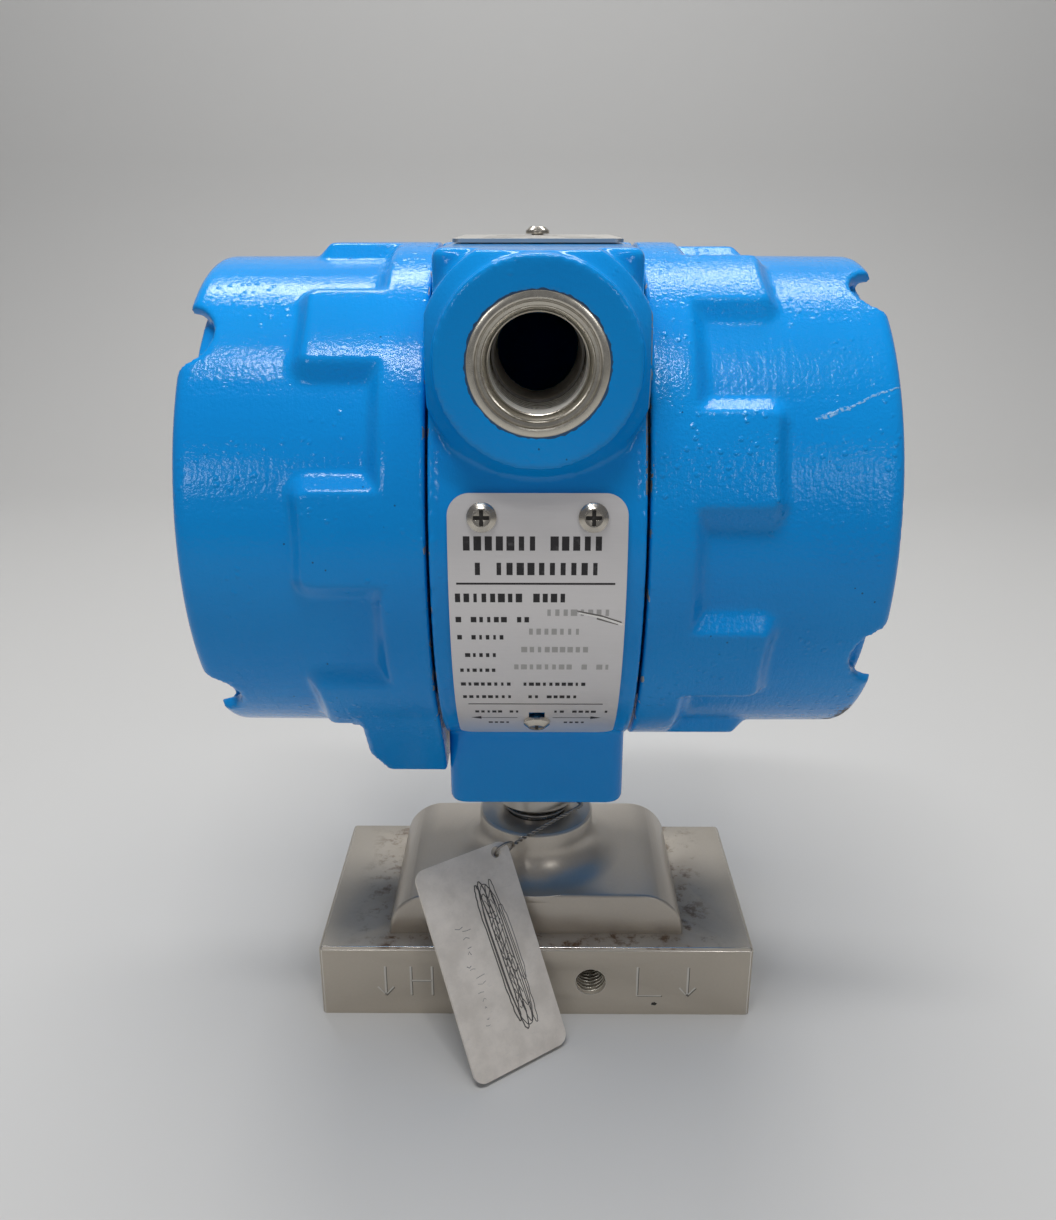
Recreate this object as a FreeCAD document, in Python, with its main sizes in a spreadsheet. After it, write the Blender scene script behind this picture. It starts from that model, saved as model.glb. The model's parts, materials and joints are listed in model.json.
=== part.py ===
import FreeCAD, Part
import math
import os
import re

import Sketcher

# Differential pressure transmitter: a two-compartment housing on a swivel neck, above a cast sensor
# module and its process block.  Millimetres, +Z up, origin at the middle of the block's underside.
# The housing's axis lies along X, its conduit entry faces -Y and the terminal side is +X.

DOC = FreeCAD.newDocument("PressureTransmitter")
SHEET = DOC.addObject("Spreadsheet::Sheet", "Sizes")

DRIVING = {
    # process block
    "block_width": 114.5, "block_depth": 61.4, "block_height": 21.1, "block_edge": 0.7,
    "port_spacing": 54, "port_radius": 5.6, "port_depth": 13, "passage_radius": 1.6,
    "bracket_spacing": 29.2, "bracket_hole_radius": 4, "bracket_hole_depth": 14,
    "bracket_hole_height": 10.5,
    "isolator_spacing": 36, "isolator_radius": 10.8, "isolator_depth": 2.6,
    "flange_screw_spacing_x": 64, "flange_screw_spacing_y": 32, "flange_screw_radius": 3,
    "flange_head_radius": 5, "flange_head_height": 6, "flange_counterbore_depth": 7,
    "flange_screw_grip": 8, "socket_radius": 2.5, "socket_depth": 3,
    # sensor module
    "module_width": 78.6, "module_depth": 48.6, "module_height": 11.9, "module_corner": 11.4,
    "module_edge": 0.8, "hub_radius": 15.7, "hub_height": 13, "hub_flare": 8.9, "hub_edge": 0.6,
    "diaphragm_radius": 8, "diaphragm_thickness": 0.4, "diaphragm_ripple": 0.25,
    "seal_section": 1.3, "cell_height": 9, "cell_fit": 0.2,
    # stem, lock nut and neck
    "stem_radius": 8, "stem_grip": 10, "stem_bore": 4, "spigot_radius": 9.5, "spigot_height": 18,
    "spigot_start": 61.2, "nut_radius": 11, "nut_bottom": 49.5, "nut_gap": 0.2, "nut_bevel": 0.8,
    "turn_gap": 0.3, "thread_gap": 0.3,
    "neck_width": 43.6, "neck_depth": 54, "neck_bottom": 62, "neck_corner": 4, "neck_edge": 1.5,
    "neck_blend": 5, "neck_bore_depth": 21,
    # housing
    "axis_height": 136.1, "body_half": 21.9, "body_radius": 59.5, "flange_radius": 60,
    "flange_length": 1.4, "collar_radius": 50, "collar_end": 38, "cavity_radius": 45,
    "partition_left": 16, "partition_right": 12, "lead_slant": 45, "lead_hole_radius": 3.5,
    "lead_hole_start": 6,
    "deck_half": 20.7, "deck_front": 50, "deck_back": 32, "deck_rise": 60.1,
    "deck_corner": 3, "deck_edge": 1.2,
    "boss_rise": 39.6, "boss_face": 62, "boss_radius": 20, "skirt_radius": 23.5,
    "boss_root": 40, "skirt_foot": 46, "skirt_back": 2.4, "skirt_inset": 0.15,
    "conduit_radius": 9.5, "conduit_length": 18, "conduit_throat": 8.8, "conduit_mouth": 10.8,
    "conduit_spot_radius": 13.4, "conduit_spot_depth": 0.6, "conduit_cone_depth": 2.4,
    # covers
    "cover_gap": 0.6, "cover_length": 51.75, "ring_length": 9, "tooth_depth": 3,
    "barrel_end_radius": 56.8, "rim_round": 3, "rim_wall": 3.1, "rim_groove": 1.3,
    "rim_groove_depth": 8.5, "disc_recess": 2.6, "disc_edge": 1, "end_thickness": 5.4,
    "cover_cavity_radius": 48, "cover_cavity_bevel": 4, "cover_thread_end": 17,
    "mouth_bevel": 0.5, "cover_seal_start": 1.2, "cover_seal_section": 1.3,
    "cover_seal_fit": 0.15,
    "tooth_count": 8, "tooth_crest": 18.6, "tooth_flank": 42, "tooth_end": 27.5, "tooth_root": 2.6,
    "tooth_round": 0.8, "tooth_spare": 1,
    "notch_count": 4, "notch_radius": 8.9, "notch_depth": 6.8, "notch_turn": 45,
    "left_phase": 4.5, "right_phase": 20.2,
    "lug_reach": 67.5, "lug_half": 19, "lug_foot": 14.2, "lug_top": 18.5,
    # plates and their screws
    "plate_thickness": 0.8, "plate_fit": 0.15, "plate_width": 36, "plate_corner": 4.5,
    "plate_top_angle": 13.8, "plate_bottom_angle": 57.2,
    "plate_screw_offset": 11.1, "plate_screw_angle": 9.3,
    "plate_foot_angle": 45.6, "plate_slot_width": 3.6, "plate_slot_length": 5.2,
    "small_head_radius": 3, "small_head_height": 1.7, "small_shank_radius": 1.5,
    "small_shank_length": 5, "small_cross": 3.2, "small_cross_width": 0.8, "small_cross_depth": 0.8,
    "small_fit": 0.15,
    "top_plate_width": 37, "top_plate_front": 22, "top_plate_back": 29.6, "top_plate_corner": 2,
    "top_screw_back": 25.2,
    "button_spacing": 20, "button_front": 7, "button_radius": 2.8, "button_height": 7,
    "button_stroke": 2, "button_recess": 0.4,
    # electronics side
    "case_radius": 37, "case_length": 13.4, "case_recess_half": 12, "case_recess_drop": 20,
    "case_recess_rise": 6, "case_recess_depth": 3,
    "board_radius": 41, "board_thickness": 1.6, "board_screw_spacing": 66,
    "connector_tall": 6, "connector_wide": 18, "connector_high": 7, "connector_rise": -24,
    "chip_tall": 2.4, "chip_wide": 10, "chip_high": 9, "chip_spread": 27, "chip_rise": 7,
    "jumper_tall": 5, "jumper_wide": 12, "jumper_high": 5, "jumper_rise": 26,
    # terminal side
    "terminal_radius": 40, "terminal_thickness": 16, "terminal_flat": 17, "terminal_spacing": 17,
    "terminal_drop": 4, "terminal_pocket": 13, "terminal_pocket_depth": 7,
    "clamp_side": 9, "clamp_thickness": 1.2, "ground_rise": 31, "ground_side": 25,
    # tag and its wire
    "tag_width": 28, "tag_height": 54, "tag_thickness": 0.8, "tag_corner": 3, "tag_hole_radius": 1.45,
    "tag_hole_inset": 4, "tag_hole_drop": 2.4, "tag_lean": 58.4, "tag_turn": 35.8,
    "tag_swing": 60, "tag_centre_x": -11.3, "tag_centre_y": -38.5, "tag_centre_z": 24,
    "wire_radius": 0.5, "twist_radius": 0.75, "eye_radius": 2.75, "wire_fit": 0.25,
}

DERIVED = {
    "module_bottom": "block_height",
    "module_top": "block_height + module_height",
    "hub_top": "module_top + hub_height",
    "stem_bottom": "hub_top - stem_grip",
    "nut_top": "spigot_start - nut_gap",
    "neck_bore": "spigot_radius + turn_gap",
    "neck_floor": "neck_bottom - axis_height",
    "skirt_bevel": "skirt_radius - boss_radius",
    "skirt_front": "boss_face - skirt_back",
    "board_seat": "partition_left + case_length",
    "clamp_seat": "terminal_thickness - partition_right - terminal_pocket_depth",
    "cover_start": "body_half + cover_gap",
    "thread_bore": "collar_radius + thread_gap",
    "groove_outer": "barrel_end_radius - rim_wall",
    "groove_inner": "groove_outer - rim_groove",
    "disc_face": "cover_length - disc_recess",
    "cavity_end": "disc_face - end_thickness",
    "seal_end": "cover_seal_start + 2 * cover_seal_section + 2 * cover_seal_fit",
    "seal_bottom": "collar_radius + cover_seal_fit + 2 * cover_seal_section + cover_seal_fit",
    "lug_root": "flange_radius - 0.5",
    "lug_tangent": "atan(lug_half / lug_reach) + acos(flange_radius / hypot(lug_half; lug_reach))",
    "tooth_half": "flange_radius * sin(tooth_crest / 2)",
    "tooth_base": "flange_radius * cos(tooth_crest / 2) - tooth_depth - tooth_root",
    "tooth_spread": "(tooth_depth + tooth_root) * tan(tooth_flank)",
    "tooth_corner": "tooth_round + (tooth_depth + tooth_root + tooth_spare) * tan(tooth_flank)",
    "plate_inner": "body_radius + plate_fit",
    "screw_seat": "plate_inner + plate_thickness",
    "top_plate_seat": "deck_rise + turn_gap",
    "button_hole": "button_radius + turn_gap",
}


def fill_sheet():
    """Write the driving dimensions as numbers and the derived ones as formulas."""
    row = 1
    for table, mark in ((DRIVING, ""), (DERIVED, "=")):
        for name, value in table.items():
            SHEET.set("A%d" % row, name)
            SHEET.set("B%d" % row, "%s%s" % (mark, value))
            SHEET.setAlias("B%d" % row, name)
            row += 1
    DOC.recompute()


def bound(text):
    """Turn the sheet's names in a formula into references to its cells."""
    return re.sub(r"[a-z]+(_[a-z]+)+", lambda word: "Sizes." + word.group(0), str(text))


def size(text):
    """The present value of a formula in the sheet's names."""
    value = SHEET.evalExpression(bound(text))
    return float(getattr(value, "Value", value))


def bind(item, **formulas):
    """Bind properties of an object to formulas."""
    for name, formula in formulas.items():
        item.setExpression(name, bound(formula))
    return item


def place(item, x="0", y="0", z="0", turn=None):
    """Put an object at a bound position, turned by a fixed rotation."""
    if turn is not None:
        item.Placement = FreeCAD.Placement(FreeCAD.Vector(), turn)
    for letter, formula in zip("xyz", (x, y, z)):
        if formula != "0":
            item.setExpression("Placement.Base." + letter, bound(formula))
    return item


def axes(x_axis, y_axis, z_axis):
    """The rotation that carries a local frame onto these three directions."""
    return FreeCAD.Rotation(FreeCAD.Vector(x_axis), FreeCAD.Vector(y_axis), FreeCAD.Vector(z_axis), "ZXY")


UP = FreeCAD.Rotation()
ALONG_X = axes((0, 1, 0), (0, 0, 1), (1, 0, 0))
ALONG_MINUS_Y = axes((1, 0, 0), (0, 0, 1), (0, -1, 0))


# Part primitives and booleans

def cylinder(name, radius, length, x="0", y="0", z="0", turn=UP):
    item = bind(DOC.addObject("Part::Cylinder", name), Radius=radius, Height=length)
    return place(item, x, y, z, turn)


def box(name, length, width, height, x="0", y="0", z="0", turn=UP):
    """A box centred on its place in X and Y, standing on it in Z."""
    item = bind(DOC.addObject("Part::Box", name), Length=length, Width=width, Height=height)
    if turn.isSame(UP, 1e-9):
        return place(item, "(%s) - (%s) / 2" % (x, length), "(%s) - (%s) / 2" % (y, width), z)
    return place(item, x, y, z, turn)


def fuse(name, parts):
    item = DOC.addObject("Part::MultiFuse", name)
    item.Shapes = parts
    return item


def cut(name, base, tools):
    item = DOC.addObject("Part::Cut", name)
    item.Base = base
    item.Tool = tools[0] if len(tools) == 1 else fuse(name + "Tools", tools)
    return item


def group(name, parts):
    item = DOC.addObject("Part::Compound", name)
    item.Links = parts
    return item


def edges_of(feature, wanted):
    """Numbers of the edges whose middle point and direction pass the test."""
    found = []
    for number, edge in enumerate(feature.Shape.Edges, 1):
        middle = edge.valueAt((edge.FirstParameter + edge.LastParameter) / 2)
        if wanted(edge, middle):
            found.append(number)
    return found


# PartDesign bodies, sketches and features

def new_body(name):
    return DOC.addObject("PartDesign::Body", name)


def sketch_on(body, role, name, offset="0"):
    """An empty sketch on one of the body's origin planes, raised along the plane's normal."""
    sketch = body.newObject("Sketcher::SketchObject", name)
    plane = [item for item in body.Origin.OriginFeatures if item.Role == role][0]
    sketch.AttachmentSupport = [(plane, "")]
    sketch.MapMode = "FlatFace"
    if offset != "0":
        sketch.setExpression("AttachmentOffset.Base.z", bound(offset))
    return sketch


def pin_point(sketch, item, end, x, y):
    """Hold one end of a sketch line at a bound position."""
    for kind, formula in (("DistanceX", x), ("DistanceY", y)):
        number = sketch.addConstraint(Sketcher.Constraint(kind, -1, 1, item, end, size(formula)))
        sketch.setExpression("Constraints[%d]" % number, bound(formula))


def arc_between(start, end, radius, left):
    """The short arc from start to end, with its centre to the left of the chord or to the right."""
    chord = end - start
    middle = (start + end) / 2
    normal = FreeCAD.Vector(-chord.y, chord.x, 0) * ((1 if left else -1) / chord.Length)
    centre = middle + normal * math.sqrt(max(radius ** 2 - (chord.Length / 2) ** 2, 0))
    return Part.Arc(start, centre - normal * radius, end)


def outline(sketch, corners):
    """Close a loop through corners (x, y).  A third entry, a radius, bends the edge that leaves the
    corner; its centre lies to the left of the way on, or to the right after a minus sign."""
    points = [FreeCAD.Vector(size(corner[0]), size(corner[1]), 0) for corner in corners]
    ends = []
    for index, corner in enumerate(corners):
        start, end = points[index], points[(index + 1) % len(points)]
        if len(corner) == 2:
            ends.append((sketch.addGeometry(Part.LineSegment(start, end)), 1, 2))
            continue
        left = not corner[2].startswith("-")
        radius = corner[2] if left else corner[2][1:]
        item = sketch.addGeometry(arc_between(start, end, size(radius), left))
        number = sketch.addConstraint(Sketcher.Constraint("Radius", item, size(radius)))
        sketch.setExpression("Constraints[%d]" % number, bound(radius))
        ends.append((item, 1, 2) if left else (item, 2, 1))
    for index, (item, first, last) in enumerate(ends):
        before = ends[index - 1]
        sketch.addConstraint(Sketcher.Constraint("Coincident", before[0], before[2], item, first))
    for (item, first, last), corner in zip(ends, corners):
        pin_point(sketch, item, first, corner[0], corner[1])
    return sketch


def circle(sketch, radius, x="0", y="0"):
    """A circle of bound radius at a bound place."""
    centre = FreeCAD.Vector(size(x), size(y), 0)
    item = sketch.addGeometry(Part.Circle(centre, FreeCAD.Vector(0, 0, 1), size(radius)))
    number = sketch.addConstraint(Sketcher.Constraint("Radius", item, size(radius)))
    sketch.setExpression("Constraints[%d]" % number, bound(radius))
    pin_point(sketch, item, 3, x, y)
    return sketch


def rectangle(sketch, left, bottom, right, top):
    return outline(sketch, [(left, bottom), (right, bottom), (right, top), (left, top)])


def soft_rectangle(sketch, left, bottom, right, top, radius):
    """A rectangle with rounded corners."""
    inner = ["(%s) + %s" % (left, radius), "(%s) + %s" % (bottom, radius),
             "(%s) - %s" % (right, radius), "(%s) - %s" % (top, radius)]
    return outline(sketch, [
        (inner[0], bottom), (inner[2], bottom, radius), (right, inner[1]), (right, inner[3], radius),
        (inner[2], top), (inner[0], top, radius), (left, inner[3]), (left, inner[1], radius)])


def check_change(body, feature, adds):
    """A feature that misses the solid changes nothing and says nothing, so compare volumes."""
    DOC.recompute()
    before = feature.BaseFeature.Shape.Volume if feature.BaseFeature else 0
    change = feature.Shape.Volume - before
    if (change if adds else -change) < 1e-3:
        raise RuntimeError("%s changed nothing" % feature.Name)


def pad(body, name, sketch, length, back=False, taper=None, both=False):
    item = body.newObject("PartDesign::Pad", name)
    item.Profile = sketch
    item.Reversed = back
    item.SideType = "Symmetric" if both else "One side"
    bind(item, Length=length)
    if taper:
        bind(item, TaperAngle=taper)
    check_change(body, item, True)
    return item


def pocket(body, name, sketch, depth, back=False):
    item = body.newObject("PartDesign::Pocket", name)
    item.Profile = sketch
    item.Reversed = back
    bind(item, Length=depth)
    check_change(body, item, False)
    return item


def turned(body, name, sketch, axis="V_Axis", cut_away=False):
    """Revolve a profile about one of the sketch's own axes, to add or to cut away."""
    kind = "PartDesign::Groove" if cut_away else "PartDesign::Revolution"
    item = body.newObject(kind, name)
    item.Profile = sketch
    item.ReferenceAxis = (sketch, [axis])
    item.Angle = 360
    check_change(body, item, not cut_away)
    return item


def ring_of(body, name, feature, count):
    """Repeat a feature round the body's Z axis."""
    item = body.newObject("PartDesign::PolarPattern", name)
    item.Originals = [feature]
    item.Axis = ([part for part in body.Origin.OriginFeatures if part.Role == "Z_Axis"][0], [""])
    item.Angle = 360
    item.setExpression("Occurrences", bound(count))
    body.Tip = item
    DOC.recompute()
    return item


def soften(body, name, kind, amount, wanted):
    """Fillet or chamfer the edges of the body's tip whose middle point passes the test."""
    DOC.recompute()
    tip = body.Tip
    item = body.newObject("PartDesign::" + kind, name)
    item.Base = (tip, ["Edge%d" % number for number in edges_of(tip, wanted)])
    bind(item, **{"Radius" if kind == "Fillet" else "Size": amount})
    DOC.recompute()
    check_change(body, item, item.Shape.Volume > tip.Shape.Volume)
    return item


def lathe(name, corners):
    """A body turned about Z from a closed half profile of (radius, height) corners."""
    body = new_body(name)
    turned(body, name + "Turned", outline(sketch_on(body, "XZ_Plane", name + "Profile"), corners))
    return body


def is_line(edge):
    return edge.Curve.TypeId == "Part::GeomLine"


def runs_along(edge, letter):
    """True for a straight edge that runs along one axis."""
    return is_line(edge) and abs(abs(getattr(edge.tangentAt(edge.FirstParameter), letter)) - 1) < 1e-6


# Process block and what it holds

def process_block():
    """Flat stainless block: two process ports below, two bracket holes in front."""
    body = new_body("ProcessBlock")
    base = sketch_on(body, "XY_Plane", "BlockOutline")
    rectangle(base, "-block_width / 2", "-block_depth / 2", "block_width / 2", "block_depth / 2")
    pad(body, "BlockPad", base, "block_height")
    for side in (-1, 1):
        tag = "Low" if side > 0 else "High"
        x_port = "%d * port_spacing / 2" % side
        x_isolator = "%d * isolator_spacing / 2" % side
        port = circle(sketch_on(body, "XY_Plane", tag + "Port"), "port_radius", x_port)
        pocket(body, tag + "PortPocket", port, "port_depth", back=True)
        well = circle(sketch_on(body, "XY_Plane", tag + "Well", "block_height"),
                      "isolator_radius", x_isolator)
        pocket(body, tag + "WellPocket", well, "isolator_depth")
        duct = circle(sketch_on(body, "XY_Plane", tag + "Duct", "block_height"),
                      "passage_radius", "%d * (port_spacing / 2 - passage_radius - 1)" % side)
        pocket(body, tag + "DuctPocket", duct, "block_height - port_depth + 0.5")
        hole = circle(sketch_on(body, "XZ_Plane", tag + "Bracket", "block_depth / 2"),
                      "bracket_hole_radius", "%d * bracket_spacing / 2" % side, "bracket_hole_height")
        pocket(body, tag + "BracketPocket", hole, "bracket_hole_depth")
        for end in (-1, 1):
            spot = ("%d * flange_screw_spacing_x / 2" % side, "%d * flange_screw_spacing_y / 2" % end)
            name = tag + ("Rear" if end > 0 else "Front")
            shank = circle(sketch_on(body, "XY_Plane", name + "Shank"),
                           "flange_screw_radius + small_fit", *spot)
            pocket(body, name + "ShankPocket", shank, "block_height", back=True)
            head = circle(sketch_on(body, "XY_Plane", name + "Head"),
                          "flange_head_radius + small_fit", *spot)
            pocket(body, name + "HeadPocket", head, "flange_counterbore_depth", back=True)
    half_x, half_y, high = size("block_width / 2"), size("block_depth / 2"), size("block_height")

    def outer(edge, middle):
        upright = abs(abs(middle.x) - half_x) < 1e-6 and abs(abs(middle.y) - half_y) < 1e-6
        top = abs(middle.z - high) < 1e-6 and (
            abs(abs(middle.x) - half_x) < 1e-6 or abs(abs(middle.y) - half_y) < 1e-6)
        return is_line(edge) and (upright or top)

    soften(body, "BlockEdges", "Chamfer", "block_edge", outer)
    return body


def cap_screws():
    """Four socket screws that hold the sensor module down on the block from below."""
    screws = []
    for side in (-1, 1):
        for end in (-1, 1):
            name = "CapScrew%d" % len(screws)
            head = cylinder(name + "Head", "flange_head_radius", "flange_head_height")
            seat = "flange_counterbore_depth - flange_head_height"
            shank = cylinder(name + "Shank", "flange_screw_radius",
                             "block_height - (%s) + flange_screw_grip" % seat)
            socket = DOC.addObject("Part::Prism", name + "Socket")
            socket.Polygon = 6
            bind(socket, Circumradius="socket_radius", Height="socket_depth")
            screw = cut(name, fuse(name + "Solid", [head, shank]), [socket])
            place(screw, "%d * flange_screw_spacing_x / 2" % side,
                  "%d * flange_screw_spacing_y / 2" % end, seat)
            screws.append(screw)
    return group("CapScrews", screws)


def sensor_module():
    """Cast module: a prism with rounded shoulders and a round hub that flares into it."""
    body = new_body("SensorModule")
    side = "module_width / 2"
    shoulder = "module_width / 2 - module_corner"
    low, high = "module_bottom", "module_top"
    turn_height = "module_top - module_corner"
    front = sketch_on(body, "XZ_Plane", "ModuleOutline")
    outline(front, [
        ("-" + side, low), (side, low), (side, turn_height, "module_corner"),
        (shoulder, high), ("-(%s)" % shoulder, high, "module_corner"), ("-" + side, turn_height)])
    pad(body, "ModulePad", front, "module_depth", both=True)
    depth = size("module_depth / 2")
    bottom = size(low)

    def face_edge(edge, middle):
        return abs(abs(middle.y) - depth) < 1e-6 and middle.z > bottom + 1e-3 and (
            not is_line(edge) or middle.z > bottom + 1)

    soften(body, "ModuleEdges", "Fillet", "module_edge", face_edge)
    foot = "hub_radius + hub_flare"
    hub = sketch_on(body, "XZ_Plane", "HubProfile")
    outline(hub, [
        ("0", "module_top - 2"), (foot, "module_top - 2"), (foot, high, "-hub_flare"),
        ("hub_radius", "module_top + hub_flare"), ("hub_radius", "hub_top - hub_edge"),
        ("hub_radius - hub_edge", "hub_top"), ("0", "hub_top")])
    turned(body, "HubTurned", hub)
    bore = sketch_on(body, "XY_Plane", "StemSocket", "hub_top")
    pocket(body, "StemSocketPocket", circle(bore, "stem_radius + thread_gap"), "stem_grip + 0.2")
    chamber = sketch_on(body, "XY_Plane", "CellChamber", "hub_top")
    pocket(body, "CellChamberPocket", circle(chamber, "stem_radius - 1"),
           "hub_top - module_bottom - 4")
    for place_x in (-1, 1):
        tag = "Low" if place_x > 0 else "High"
        recess = circle(sketch_on(body, "XY_Plane", tag + "Recess", "module_bottom"),
                        "diaphragm_radius + 0.1", "%d * isolator_spacing / 2" % place_x)
        pocket(body, tag + "RecessPocket", recess, "diaphragm_thickness + diaphragm_ripple", back=True)
        for end in (-1, 1):
            hole = circle(sketch_on(body, "XY_Plane", tag + "Thread%d" % end, "module_bottom"),
                          "flange_screw_radius + small_fit",
                          "%d * flange_screw_spacing_x / 2" % place_x,
                          "%d * flange_screw_spacing_y / 2" % end)
            pocket(body, tag + "ThreadPocket%d" % end, hole, "flange_screw_grip + 0.5", back=True)
    return body


def diaphragm(tag, side):
    """Thin isolating diaphragm with one ring-shaped ripple, seated in the module's underside."""
    crest = "diaphragm_thickness + diaphragm_ripple"
    body = lathe(tag + "Diaphragm", [
        ("0", "0"), ("diaphragm_radius", "0"), ("diaphragm_radius", "diaphragm_thickness"),
        ("diaphragm_radius * 0.75", "diaphragm_thickness"), ("diaphragm_radius * 0.6", crest),
        ("diaphragm_radius * 0.45", "diaphragm_thickness"), ("0", "diaphragm_thickness")])
    return place(body, "%d * isolator_spacing / 2" % side, z="module_bottom")


def flange_seal(tag, side):
    """Ring between block and module round one diaphragm."""
    ring = bind(DOC.addObject("Part::Torus", tag + "Seal"),
                Radius1="isolator_radius - seal_section - 0.1", Radius2="seal_section")
    return place(ring, "%d * isolator_spacing / 2" % side, z="block_height - seal_section")


def sensor_cell():
    """Turned capsule in the hub, under the stem."""
    body = lathe("SensorCell", [
        ("0", "0"), ("stem_radius - 1 - cell_fit - 1", "0"), ("stem_radius - 1 - cell_fit", "1"),
        ("stem_radius - 1 - cell_fit", "cell_height"), ("stem_bore", "cell_height"),
        ("stem_bore", "cell_height + 2"), ("0", "cell_height + 2")])
    return place(body, z="module_bottom + 4")


def stem():
    """Hollow threaded stem: lower thread in the hub, upper spigot in the neck's bore."""
    shoulder = "spigot_start"
    top = "spigot_start + spigot_height"
    return lathe("Stem", [
        ("stem_bore", "stem_bottom"), ("stem_radius", "stem_bottom"), ("stem_radius", shoulder),
        ("spigot_radius", shoulder + " + (spigot_radius - stem_radius)"),
        ("spigot_radius", top + " - 1"), ("spigot_radius - 1", top), ("stem_bore", top)])


def lock_nut():
    """Plain ring nut under the neck that locks the housing's turn on the stem."""
    inner = "stem_radius + small_fit"
    low, high = "nut_bottom", "nut_top"
    return lathe("LockNut", [
        (inner, low), ("nut_radius - nut_bevel", low), ("nut_radius", low + " + nut_bevel"),
        ("nut_radius", high + " - nut_bevel"), ("nut_radius - nut_bevel", high), (inner, high)])


# Housing: one casting, drawn about its own axis and then lifted to axis_height

def housing():
    body = new_body("Housing")
    turned_shell(body)
    deck(body)
    conduit_boss(body)
    neck(body)
    compartments(body)
    housing_holes(body)
    return place(body, z="axis_height")


def turned_shell(body):
    """Barrel with its two edge flanges and the two threaded collars that carry the covers."""
    flange_start = "body_half - flange_length"
    right_side = [
        ("collar_end", "0"), ("collar_end", "collar_radius - 1"), ("collar_end - 1", "collar_radius"),
        ("body_half", "collar_radius"), ("body_half", "flange_radius"), (flange_start, "flange_radius"),
        (flange_start, "body_radius")]
    left_side = [("-(%s)" % x, r) for x, r in reversed(right_side)]
    profile = sketch_on(body, "XZ_Plane", "ShellProfile")
    outline(profile, right_side + left_side)
    turned(body, "ShellTurned", profile, axis="H_Axis")


def deck(body):
    """Flat-topped block over the barrel that carries the top plate, its upper edge bevelled."""
    for name, start, length, taper in (("Deck", "0", "deck_rise - deck_edge", None),
                                       ("DeckBevel", "deck_rise - deck_edge", "deck_edge", "-45")):
        base = sketch_on(body, "XY_Plane", name + "Outline", start)
        soft_rectangle(base, "-deck_half", "-deck_front", "deck_half", "deck_back", "deck_corner")
        pad(body, name + "Pad", base, length, taper=taper)


def conduit_boss(body):
    """Round boss for the conduit entry."""
    face = sketch_on(body, "XZ_Plane", "BossCircle", "boss_root")
    pad(body, "BossPad", circle(face, "boss_radius", y="boss_rise"), "boss_face - boss_root")


def conduit_skirt():
    """Bevelled skirt round the boss, cut off flat by the body's sides and by its deck."""
    height = "axis_height + boss_rise"
    drum = cylinder("SkirtDrum", "skirt_radius", "skirt_front - skirt_foot - skirt_bevel",
                    y="-skirt_foot", z=height, turn=ALONG_MINUS_Y)
    cone = bind(DOC.addObject("Part::Cone", "SkirtCone"), Radius1="skirt_radius",
                Radius2="boss_radius", Height="skirt_bevel")
    place(cone, y="-(skirt_front - skirt_bevel)", z=height, turn=ALONG_MINUS_Y)
    limits = box("SkirtLimits", "2 * body_half - 2 * skirt_inset", "4 * boss_radius",
                 "2 * skirt_radius", y="-boss_face",
                 z="axis_height + deck_rise - skirt_inset - 2 * skirt_radius")
    skirt = DOC.addObject("Part::MultiCommon", "SkirtTrimmed")
    skirt.Shapes = [fuse("SkirtForm", [drum, cone]), limits]
    core = cylinder("SkirtCore", "boss_radius - 1", "skirt_front - skirt_foot + 2",
                    y="-skirt_foot + 1", z=height, turn=ALONG_MINUS_Y)
    return cut("Skirt", skirt, [core])


def neck(body):
    """Square neck with a blend where its flat faces run into the barrel."""
    base = sketch_on(body, "XY_Plane", "NeckOutline", "neck_floor")
    soft_rectangle(base, "-neck_width / 2", "-neck_depth / 2", "neck_width / 2", "neck_depth / 2",
                   "neck_corner")
    pad(body, "NeckPad", base, "-neck_floor - cavity_radius + 2")
    floor = size("neck_floor")
    soften(body, "NeckEdges", "Fillet", "neck_edge",
           lambda edge, middle: abs(middle.z - floor) < 1e-6)
    for side in (-1, 1):
        neck_blend(body, side)


def neck_blend(body, side):
    """Concave blend between one flat face of the neck and the barrel above it."""
    flat = "neck_depth / 2"
    inner = "(neck_depth / 2 - 1)"
    centre_z = "sqrt((body_radius + neck_blend) ^ 2 - (neck_depth / 2 + neck_blend) ^ 2)"
    share = "(body_radius - 0.2) / (body_radius + neck_blend)"
    tangent = ("(neck_depth / 2 + neck_blend) * " + share, "-%s * %s" % (centre_z, share))
    corners = [(inner, "-" + centre_z), (flat, "-" + centre_z, "-neck_blend"), tangent,
               (inner, "-sqrt(cavity_radius ^ 2 - (neck_depth / 2) ^ 2) - 3")]
    if side < 0:
        corners = [("-(%s)" % y, z) for y, z, *_ in reversed(corners)]
        corners[1] = corners[1] + ("-neck_blend",)
    wedge = sketch_on(body, "YZ_Plane", "NeckBlend%d" % side)
    pad(body, "NeckBlendPad%d" % side, outline(wedge, corners), "neck_width - 2 * neck_corner",
        both=True)


def compartments(body):
    """Electronics side at -X and terminal side at +X, either side of a partition."""
    left = sketch_on(body, "XZ_Plane", "ElectronicsBore")
    rectangle(left, "-collar_end - 1", "0", "-partition_left", "cavity_radius")
    turned(body, "ElectronicsGroove", left, axis="H_Axis", cut_away=True)
    right = sketch_on(body, "XZ_Plane", "TerminalBore")
    rectangle(right, "-partition_right", "0", "collar_end + 1", "cavity_radius")
    turned(body, "TerminalGroove", right, axis="H_Axis", cut_away=True)


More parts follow.
